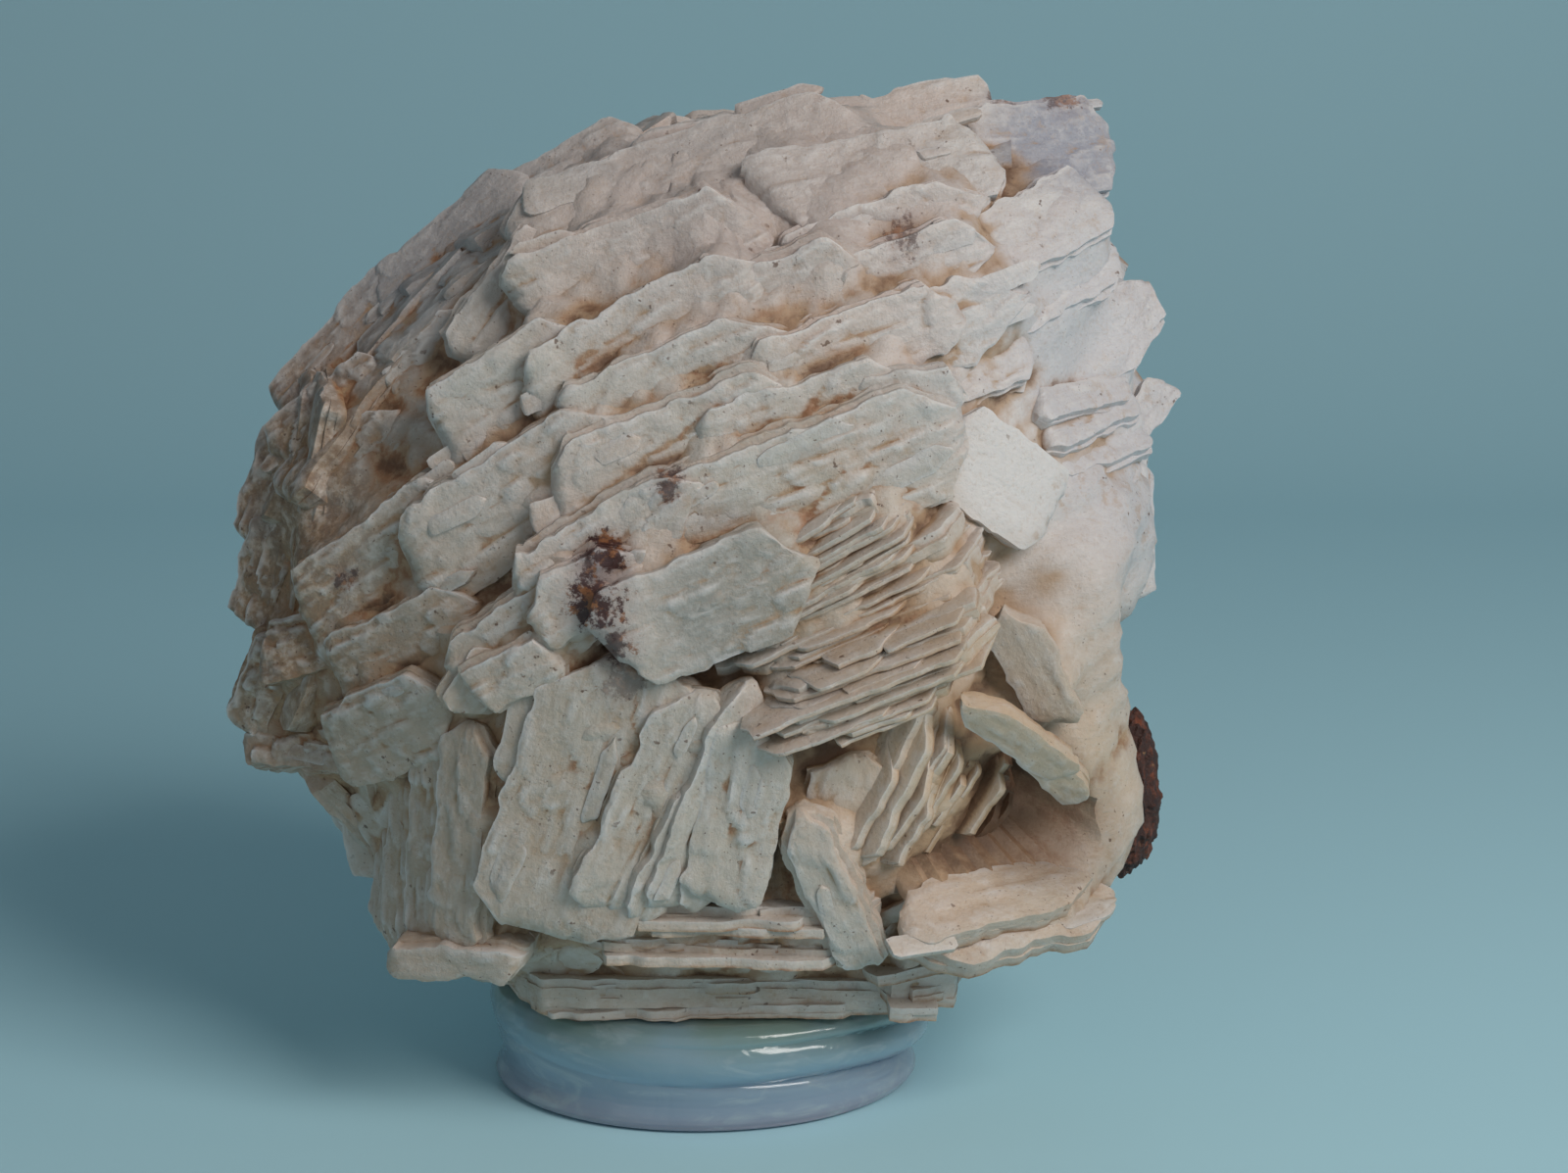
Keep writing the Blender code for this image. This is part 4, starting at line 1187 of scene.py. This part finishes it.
# The big face, the curved blades beside it, the herringbone and the fan
LOW_FRONT = (
    Blade((-20, -44, 20), (-8, -9, 31), 21, 5, 0, relief=0.6),
    Blade((-27, -38, 16), (-17, -13, 27), 12, 5, 14),
    Blade((-13, -41, 23), (0, -13, 32), 11, 4, -10),
    Blade((-31, -46, 15), (-29, -17, 24), 9, 4, 30),
    Blade((-34, -47, 11), (-33, -18, 20), 10, 4, 40),
    Blade((-37, -48, 7), (-36, -23, 14), 10, 4, 50),
    Blade((-39, -45, 3), (-38, -25, 9), 10, 4, 60),
    Blade((-41, -37, -6), (-44, -26, -4), 7, 3.5, 20),
    Blade((-9, -42, 23), (-1, -24, 29), 6, 4, -35),
    Blade((-6, -41, 24), (6, -12, 32), 7, 4, -30),
    Blade((-2, -41, 23), (4, -20, 30), 6, 4, -25),
    Blade((2, -40, 24), (7, -17, 31), 11, 5, -5),
    Blade((21, -48, 18), (12, -28, 28), 7.5, 5, 10),
    Blade((17, -36, 20), (19, -21, 24), 10, 5, 0),
    Blade((19.5, -39, 25), (32, -14, 29), 9, 3.4, 44, True),
    Blade((23, -36, 23), (34.5, -18, 27), 9, 2.2, 52, True),
    Blade((25.5, -37.5, 21), (36, -19, 24), 9, 2.8, 40, True),
    Blade((28, -35.5, 18), (37.5, -21, 22), 9, 2.0, 54, True),
    Blade((31, -37, 15), (41, -23, 19), 8, 2.6, 42, True),
    Blade((34, -34.5, 12), (41.5, -26, 15), 7, 2.0, 52, True),
)
# The flat blades underneath
UNDER = (
    Blade((-15, -43, 24), (23, -43, 24), 24, 4, 78, True),
    Blade((-21, -47, 22), (23, -47, 22), 28, 4, 78, True),
    Blade((-39, -46, 10), (-21, -46, 16), 6, 10, -20),
    Blade((-28, -53, 11), (35, -53, 10), 36, 6, 78, True),
    Blade((23, -53, 14), (35, -52, 11), 16, 6, 65, True),
    Blade((25, -43, 22), (50, -37.5, 11), 9, 3.2, 42, habit=Habit.ARROW),
    Blade((26, -46.5, 20), (53, -39.5, 8), 10, 3.2, 40, habit=Habit.LENS),
    Blade((23, -49, 16), (42, -44, 10), 22, 5, 74, True),
)
# The right flank
RIGHT = (
    Blade((47, -23.5, 19), (33, -14, 29), 5, 3, 35, habit=Habit.ARROW),
    Blade((49, -27, 15), (40, -19, 23), 5, 3, 30, habit=Habit.LENS),
    Blade((45.5, -17, 18), (38.5, -2.5, 23.5), 7, 3, 14, habit=Habit.ARROW),
    Blade((50, -9, 13), (48, 10, 14), 7, 3, -24),
    Blade((54, -2, 3), (54, 16, 2), 8, 3, -34),
    Blade((45, -17, 17), (41, -4, 20), 8, 5, 20, melted=True),
    Blade((50.4, -40, 3), (48.9, -11, 9), 15, 8, -50, melted=True),
    Blade((47.6, -38, 7), (46.6, -15, 12), 9, 6, -30, melted=True),
    Blade((49, -13, 12), (46, 6, 16), 12, 7, -20, melted=True),
    Blade((36, 42, 18), (50.5, 49.5, 9), 11, 5, 8, relief=0.5),
    Blade((35, 33, 18), (52, 43, 6), 10, 5, 8),
    Blade((49, 25, 6), (56, 39, 1.5), 10, 5, 0, habit=Habit.LENS, relief=0.5),
    Blade((28, 25, 24), (41, 30, 17), 9, 5, 5),
    Blade((42, 22, 17), (54, 25, 5), 5, 4, 20),
    Blade((43, 18, 16), (55, 23, 4), 5, 4, 20),
    Blade((44, 14, 15), (56, 19, 3), 5, 4, 20),
    Blade((45, 10, 14), (55, 15, 2), 5, 4, 20),
    Blade((45, 6, 15), (55, 11, 3), 5.5, 4, 16, habit=Habit.ARROW),
    Blade((46, 2, 14), (54, 8, 3), 5.5, 4, 8),
    Blade((48, -3, 12), (53, 6, 3), 5, 4, -6, habit=Habit.LENS),
    Blade((51, -5, 4), (53, 16, 2), 11, 8, -25, melted=True),
    Blade((48, 0, 10), (50, 14, 10), 11, 8, -10, melted=True),
    Blade((54, 19, -6), (59, 26, -8), 5, 4, 0),
)
# The top corner of the back
BACK_CORNER = (
    Blade((24, 46, -23), (48, 54, -14), 14, 7, -25),
    Blade((30, 33, -26), (53, 42, -14), 13, 7, -20),
    Blade((34, 18, -27), (55, 27, -13), 13, 7, -16),
)


@dataclass
class Back:
    """Rows of blades over the back and round the rim, along the grain of the front."""

    grain: float = math.radians(28.0)
    reach: tuple = (53.0, 55.0)
    middle_up: float = 4.0
    depth: float = 34.0
    seed: int = 41

    def surface_near(self, across: float, up: float) -> float:
        """How far the round back stands from the middle plane, in mm."""
        far = (across / self.reach[0]) ** 2 + ((up - self.middle_up) / self.reach[1]) ** 2
        return -self.depth * math.sqrt(max(0.0, 1.0 - far))

    def blades(self) -> tuple:
        """Big blades in rows, each leaning with the round form under it."""
        dice = np.random.default_rng(self.seed)
        cosine, sine = math.cos(self.grain), math.sin(self.grain)
        found = []
        for offset in np.arange(-50.0, 52.0, 8.0):
            half_row = math.sqrt(max(0.0, self.reach[1] ** 2 - offset ** 2))
            for slide in np.arange(-half_row, half_row, 15.0):
                slide += dice.uniform(-4.0, 4.0)
                across = slide * cosine - offset * sine
                up = slide * sine + offset * cosine + self.middle_up
                if math.hypot(across / self.reach[0], (up - self.middle_up) / self.reach[1]) > 0.93:
                    continue
                half = dice.uniform(8.0, 16.0)
                here = self.surface_near(across, up)
                ends = []
                for sign in (-1.0, 1.0):
                    end = (across + sign * half * cosine, up + sign * half * sine)
                    near = 0.5 * (self.surface_near(*end) + here)
                    ends.append((*end, near - dice.uniform(0.5, 3.0)))
                rise = (self.surface_near(across - 6.0 * sine, up + 6.0 * cosine)
                        - self.surface_near(across + 6.0 * sine, up - 6.0 * cosine))
                lean = 180.0 - math.degrees(math.atan2(rise, 12.0)) * 0.8 - dice.uniform(8.0, 20.0)
                found.append(Blade(ends[0], ends[1], dice.uniform(8.0, 15.0),
                                   dice.uniform(4.0, 6.5), lean))
        return tuple(found)


@dataclass
class Flanks:
    """Blades that lie over the heart's sides like shingles, between the front and the back.

    They stand in rows round the heart.  Each lies in the heart's skin, along the grain
    where it can, and upright where the grain would run straight out, and its upper edge
    stands a little proud.
    """

    levels: tuple = (2.5, 3.0, 3.5, 4.0, 4.5, 5.0, 5.5, 6.0)
    spacing: float = 9.5
    grain: float = math.radians(28.0)
    seed: int = 52
    bare: tuple = ((53.0, -5.0), (46.0, -40.0), (50.0, -24.0), (45.0, 46.0), (51.0, 31.0))
    cleared: tuple = ((-42.5, -19.0), (-48.6, -12.0))

    def blades(self, heart: Heart) -> list[Placed]:
        """The blades, placed in the world."""
        dice = np.random.default_rng(self.seed)
        across, up, _ = VIEW.axes()
        grain = across * math.cos(self.grain) + up * math.sin(self.grain)
        upright = up * math.cos(self.grain) - across * math.sin(self.grain)
        found = []
        for row, level in enumerate(self.levels):
            turns = np.linspace(0.0, 1.0, 361)
            line = heart.skin(turns, np.full(361, level))
            count = int(np.linalg.norm(np.diff(line, axis=0), axis=1).sum() / self.spacing)
            for number in range(count):
                turn = (number + 0.5 * (row % 2) + dice.uniform(-0.25, 0.25)) / count
                here = level + dice.uniform(-0.12, 0.12)
                seen = VIEW.see(heart.skin(np.array([turn]), np.array([here])))[0]
                if seen[2] > -5.0 and any(math.dist(seen[:2], spot) < 12.0 for spot in self.bare):
                    continue
                spots = heart.skin(np.array([turn, turn + 0.004, turn]),
                                   np.array([here, here, here + 0.1]))
                out = np.cross(spots[2] - spots[0], spots[1] - spots[0])
                out /= np.linalg.norm(out)
                if out @ (spots[0] - VIEW.place(np.array([*heart.middle, -2.0]))) < 0:
                    out = -out
                long_way = sum(weight * (way - out * (out @ way))
                               for way, weight in ((grain, 1.0), (upright, 0.4)))
                long_way /= np.linalg.norm(long_way)
                thick = dice.uniform(3.2, 5.0)
                blade = Placed(spots[0] - out * (thick / 2 - 2.0), long_way,
                               np.cross(out, long_way), out, dice.uniform(17.0, 32.0),
                               dice.uniform(8.5, 14.0), thick,
                               (Habit.TONGUE, Habit.SLAB, Habit.ARROW)[int(dice.integers(3))])
                found.append(blade.turned(dice.normal(0.0, 0.14), dice.uniform(-0.30, -0.12)))
        return [blade for blade in found if not self.stands_out(VIEW.see(blade.middle[None])[0])]

    def stands_out(self, seen: np.ndarray) -> bool:
        """Whether a place of the front view, in mm, is kept clear of these blades."""
        return seen[2] > -12.0 and any(math.dist(seen[:2], spot) < 6.0 for spot in self.cleared)


@dataclass
class Cluster:
    """All the barite: the heart and the groups of blades on it."""

    heart: Heart = field(default_factory=Heart)
    back: Back = field(default_factory=Back)
    finish: BariteFinish = field(default_factory=BariteFinish)

    def groups(self) -> list[BladeGroup]:
        """The groups, each of which becomes one piece."""
        back = BladeShape(step=0.85, terraces=Terraces(10.0, 4.0, 0.9))
        flank = BladeShape(step=1.0, terraces=Terraces(9.0, 3.6, 0.9))
        flanks = self.heart.kept(Flanks().blades(self.heart))
        backs = self.heart.kept([Placed.of(blade) for blade in self.back.blades()])
        half = len(flanks) // 2
        return [
            BladeGroup("crown_blades", CROWN, 1, BladeShape(terraces=Terraces(11.0, 5.0, 0.6))),
            BladeGroup("shingled_rows", ROWS, 2, BladeShape(terraces=Terraces(9.5, 4.0, 0.8)),
                       tuck=3.0),
            BladeGroup("left_flank", LEFT, 3, BladeShape(terraces=Terraces(6.0, 3.6, 1.3))),
            BladeGroup("blade_bundles", BUNDLES, 4,
                       BladeShape(step=0.5, edge_wobble=0.20, edge_pitch=6.0, bend=0.006),
                       splinters=6),
            BladeGroup("low_front_blades", LOW_FRONT, 5,
                       BladeShape(terraces=Terraces(9.0, 4.6, 0.65), edge_wobble=0.30),
                       splinters=2),
            BladeGroup("under_blades", UNDER, 6,
                       BladeShape(step=0.7, edge_wobble=0.55, edge_pitch=5.0, bend=0.006),
                       splinters=3, sunk_core=0.8),
            BladeGroup("right_flank", RIGHT, 7,
                       BladeShape(terraces=Terraces(9.0, 4.0, 0.5), edge_wobble=0.30,
                                  bend=0.004, twist=0.010)),
            BladeGroup("back_blades", BACK_CORNER, 8, back, leaves=0.3, more=backs),
            BladeGroup("side_blades", (), 9, flank, leaves=0.2, more=flanks[half:]),
            BladeGroup("rear_side_blades", (), 10, flank, leaves=0.2, more=flanks[:half]),
        ]

    def build(self) -> list[bpy.types.Object]:
        """Every piece of the cluster, dressed, riding and standing for the solid."""
        made = []
        blades = []
        for group in self.groups():
            patch, mains = group.build()
            made.append((group.name, patch))
            blades.extend(mains)
        low = np.min([patch.corners.min(0) for _, patch in made], axis=0) - 8.0
        high = np.max([patch.corners.max(0) for _, patch in made], axis=0) + 8.0
        solid = SolidField.over(low, high, 1.0)
        solid.mark_where(self.heart.holds)
        for blade in blades:
            solid.mark(blade)
        # Taken before the hollow is cleared, so the hollow's walls count as deep and get the painted
        # crevice shade.
        tight = solid.blurred(1.6)
        wide = solid.blurred(4.5)
        solid.clear_where(self.heart.in_hollow)
        made.append(("crystal_heart", self.heart.surface(solid)))
        material = self.finish.material()
        pieces = []
        for name, patch in made:
            # deep: how enclosed by crystal each corner is. The finish paints brown shade and seam
            # colour by it.
            nearby = 0.55 * tight.at(patch.corners) + 0.45 * wide.at(patch.corners)
            deep = smooth((nearby - 0.46) / 0.25)
            patch.corners[:, 2] = np.maximum(patch.corners[:, 2], FOOT_TOP)
            item = add_mesh(name, patch, deep)
            item.data.materials.append(material)
            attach(item, "root")
            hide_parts("barite_cluster")
            log.info("%s: %d triangles", name, patch.triangle_count())
            pieces.append(item)
        return pieces


FOOT_TOP = 14.3


@dataclass(frozen=True)
class GlueFinish:
    """Milky set glue: glossy, bluish, lavender low down and greenish under the cluster; the blue and
    lavender are painted reflection of the blue surroundings on the milky glue.
    """

    milk: tuple = (0.38, 0.57, 0.68)
    green: tuple = (0.34, 0.49, 0.44)
    lavender: tuple = (0.41, 0.53, 0.68)
    mauve: tuple = (0.46, 0.40, 0.50)
    wisp: tuple = (0.62, 0.75, 0.82)

    def material(self) -> bpy.types.Material:
        """The graph of the finish."""
        g = Graph("glue")
        place = g.place()
        height = g.split(place)[2] / (FOOT_TOP * MM)
        cloud = g.noise(place, 60.0, 3.0)
        # Painted reflection: the blue surroundings' tint, bluish milk above and lavender low down.
        colour = g.mix(height.step(0.75, 0.15), self.milk, self.lavender)
        colour = g.mix(height.step(0.55, 1.0) * cloud.step(0.35, 0.65), colour, self.green)
        colour = g.mix(height.step(0.20, 0.02) * 0.7, colour, self.mauve)
        wisps = g.noise(g.stretch(place, (1.0, 1.0, 2.6)), 95.0, 4.0, 0.6, 1.5)
        colour = g.mix(wisps.step(0.50, 0.72) * 0.55, colour, self.wisp)
        normal = g.bump(g.noise(place, 110.0, 3.0, 0.45, 0.8), 0.35, 0.0012)
        return g.principled({
            "Base Color": colour, "Roughness": 0.12, "IOR": 1.48, "Normal": normal,
            "Transmission Weight": 0.35, "Subsurface Weight": 0.6,
            "Subsurface Radius": (0.9, 1.0, 1.1), "Subsurface Scale": 0.006,
            "Coat Weight": 0.4, "Coat Roughness": 0.06,
        })


@dataclass
class GlueFoot:
    """The glue foot: rings of an oval, with ledges that flow round it and swell at the right.

    One parameter runs round the oval and the other down its side from the middle of the
    top to the middle of the underside.
    """

    half_length: float = 27.5
    half_depth: float = 23.0
    height: float = 14.0
    shares: tuple = (0.0, 0.4, 0.80, 0.95, 1.0, 1.02, 1.03, 1.03, 1.025, 1.015, 1.0, 0.985,
                     0.975, 0.975, 0.985, 1.0, 1.005, 0.99, 0.92, 0.5, 0.0)
    levels: tuple = (1.0, 1.0, 1.0, 0.985, 0.93, 0.86, 0.78, 0.70, 0.62, 0.54, 0.46, 0.38,
                     0.31, 0.25, 0.20, 0.14, 0.09, 0.03, 0.0, 0.0, 0.0)
    around: int = 180
    down: int = 110
    finish: GlueFinish = field(default_factory=GlueFinish)

    def surface(self) -> Patch:
        """The closed surface, with waves round its side that die out at top and bottom."""
        knots = np.arange(len(self.shares))
        where = np.linspace(0.0, len(self.shares) - 1.0, self.down)
        share = np.interp(where, knots, self.shares)[1:-1, None]
        level = np.interp(where, knots, self.levels)[1:-1, None]
        angle = np.linspace(0.0, math.tau, self.around, endpoint=False)[None, :]
        right = np.clip(np.cos(angle + 0.45), 0.0, 1.0) ** 1.2
        side = np.sin(math.pi * np.clip(level, 0.0, 1.0))
        swirl = level + 0.16 * np.sin(angle + 0.9) + 0.05 * np.sin(angle * 3 + 0.7)
        ledges = (1.0 - np.abs(np.sin(swirl * 8.2)) ** 0.6 * 2.0) * -0.030
        swell = 1.0 + side * (0.02 * np.sin(angle * 3 + 1.0) + ledges * (0.22 + 1.3 * right))
        swell = swell + right * 0.085 * (level - 0.35) * side ** 0.5
        x = self.half_length * share * swell * np.cos(angle)
        y = self.half_depth * share * swell * np.sin(angle)
        z = level * self.height + np.zeros_like(x)
        corners = np.stack([x, y, z], -1).reshape(-1, 3)
        corners = np.concatenate([corners, [[0, 0, self.height], [0, 0, 0]]])
        quads, triangles = BladeShape.faces(self.down - 2, self.around)
        blank = np.zeros(len(corners))
        return Patch(corners, quads, triangles, corners.copy(), blank, blank)

    def build(self) -> bpy.types.Object:
        """The foot, dressed, riding and standing for its solid."""
        patch = self.surface()
        item = add_mesh("milky_foot", patch, np.zeros(len(patch.corners)))
        item.data.materials.append(self.finish.material())
        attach(item, "root")
        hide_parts("glue_foot")
        log.info("milky_foot: %d triangles", patch.triangle_count())
        return item


@dataclass(frozen=True)
class MatrixFinish:
    """Iron-stained matrix: dark red-brown, with rust and nearly black pits."""

    dark: tuple = (0.045, 0.018, 0.014)
    rust: tuple = (0.20, 0.055, 0.025)
    ochre: tuple = (0.30, 0.15, 0.07)

    def material(self) -> bpy.types.Material:
        """The graph of the finish."""
        g = Graph("matrix")
        place = g.place()
        lumps = g.noise(place, 260.0, 5.0, 0.7)
        fine = g.noise(place, 900.0, 3.0, 0.6)
        grain = g.cells(g.shift(place, fine * 0.0004), 1300.0)
        colour = g.mix(lumps.step(0.44, 0.64), self.dark, self.rust)
        colour = g.mix(grain.step(0.62, 0.78) * 0.7, colour, self.dark)
        colour = g.mix(fine.step(0.62, 0.72) * grain.step(0.45, 0.30) * 0.8, colour, self.ochre)
        normal = g.bump(lumps + fine * 0.5 + grain * 0.35, 0.9, 0.0012)
        return g.principled({"Base Color": colour, "Roughness": 0.82 - 0.3 * lumps,
                             "Normal": normal})


@dataclass
class RustyMatrix:
    """The lump of matrix: a sphere on a grid of turn and tilt, pushed in by stacked waves."""

    middle: tuple = (53.0, -26.0, -5.0)
    radii: tuple = (5.8, 11.5, 11.0)
    around: int = 170
    down: int = 104
    finish: MatrixFinish = field(default_factory=MatrixFinish)

    def surface(self, dice: np.random.Generator) -> Patch:
        """The closed surface: each direction's radius is drawn in by waves of random pitch."""
        tilt = np.linspace(0.0, math.pi, self.down + 2)[1:-1, None]
        turn = np.linspace(0.0, math.tau, self.around, endpoint=False)[None, :]
        way = np.stack([np.sin(tilt) * np.cos(turn), np.sin(tilt) * np.sin(turn),
                        np.cos(tilt) + 0.0 * turn], -1)
        rough = np.zeros(way.shape[:2])
        for number in range(46):
            pitch = 2.5 * 1.075 ** number
            direction = dice.normal(size=3)
            direction /= np.linalg.norm(direction)
            rough += np.sin(way @ direction * pitch + dice.uniform(0, math.tau)) / pitch ** 0.3
        push = 0.91 + 0.24 * np.clip(rough / np.abs(rough).max(), -1.0, 0.40)
        seen = way * push[..., None] * np.array(self.radii) + np.array(self.middle)
        ends = np.array([[0, 0, 0.93], [0, 0, -0.93]]) * np.array(self.radii) + np.array(self.middle)
        corners = VIEW.place(np.concatenate([seen.reshape(-1, 3), ends]))
        quads, triangles = BladeShape.faces(self.down, self.around)
        blank = np.zeros(len(corners))
        return Patch(corners, quads, triangles, corners.copy(), blank, blank)

    def build(self) -> bpy.types.Object:
        """The lump, dressed, riding and standing for its solid."""
        patch = self.surface(np.random.default_rng(21))
        item = add_mesh("rusty_lump", patch, np.zeros(len(patch.corners)))
        item.data.materials.append(self.finish.material())
        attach(item, "root")
        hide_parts("rusty_matrix")
        log.info("rusty_lump: %d triangles", patch.triangle_count())
        return item


@dataclass
class Studio:
    """A plain pale floor that sweeps up behind, and soft light from the upper right."""

    floor_colour: tuple = (0.50, 0.80, 0.90)
    key_power: float = 2.9
    fill_power: float = 0.25
    sky: tuple = (0.96, 0.97, 1.0)
    sky_power: float = 0.14

    def floor(self) -> None:
        """A sweep: flat, then a quarter turn, then a wall, carried sideways."""
        turn = np.linspace(0.0, math.pi / 2, 24)
        bend = 0.25
        start = 0.40
        line_y = np.concatenate([[-3.0], start + bend * np.sin(turn), [start + bend]])
        line_z = np.concatenate([[0.0], bend * (1.0 - np.cos(turn)), [3.0]])
        x = np.array([-3.0, 3.0])
        corners = np.stack([np.repeat(x, len(line_y)), np.tile(line_y, 2), np.tile(line_z, 2)], -1)
        here = np.arange(len(line_y) - 1)
        quads = np.stack([here, here + len(line_y), here + len(line_y) + 1, here + 1], -1)
        mesh = bpy.data.meshes.new("floor")
        mesh.from_pydata(corners.tolist(), [], quads.tolist())
        mesh.polygons.foreach_set("use_smooth", np.ones(len(quads), bool))
        item = bpy.data.objects.new("floor", mesh)
        bpy.context.scene.collection.objects.link(item)
        g = Graph("floor")
        cloud = g.noise(g.place(), 3.0, 2.0)
        colour = g.mix(cloud * 0.12, self.floor_colour, (0.44, 0.72, 0.83))
        mesh.materials.append(g.principled({"Base Color": colour, "Roughness": 0.75}))

    def light(self, name: str, power: float, size: float, place: tuple, colour: tuple) -> None:
        """A soft square light that faces the cluster."""
        data = bpy.data.lights.new(name, "AREA")
        data.energy = power
        data.size = size
        data.color = colour
        item = bpy.data.objects.new(name, data)
        item.location = place
        way = np.array([0.0, 0.0, 0.065]) - np.array(place)
        flat = math.hypot(way[0], way[1])
        item.rotation_euler = (math.atan2(flat, -way[2]), 0.0, math.atan2(way[1], way[0]) - math.pi / 2)
        bpy.context.scene.collection.objects.link(item)

    def build(self) -> None:
        """The floor, the lights and the sky."""
        self.floor()
        self.light("key", self.key_power, 0.34, (0.40, -0.40, 0.45), (1.0, 0.95, 0.90))
        self.light("fill", self.fill_power, 0.60, (-0.20, -0.60, 0.25), (0.95, 0.97, 1.0))
        world = bpy.data.worlds.new("sky")
        world.use_nodes = True
        back = world.node_tree.nodes["Background"]
        back.inputs["Color"].default_value = (*self.sky, 1.0)
        back.inputs["Strength"].default_value = self.sky_power
        bpy.context.scene.world = world
        bpy.context.scene.view_settings.view_transform = "Standard"


def main() -> None:
    """Build the camera, the cluster, the matrix, the foot and the studio, and note the sizes."""
    logging.basicConfig(level=logging.INFO, format="%(name)s: %(message)s")
    VIEW.add_camera()
    Cluster().build()
    RustyMatrix().build()
    GlueFoot().build()
    Studio().build()
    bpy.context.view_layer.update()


if __name__ == "__main__":
    main()
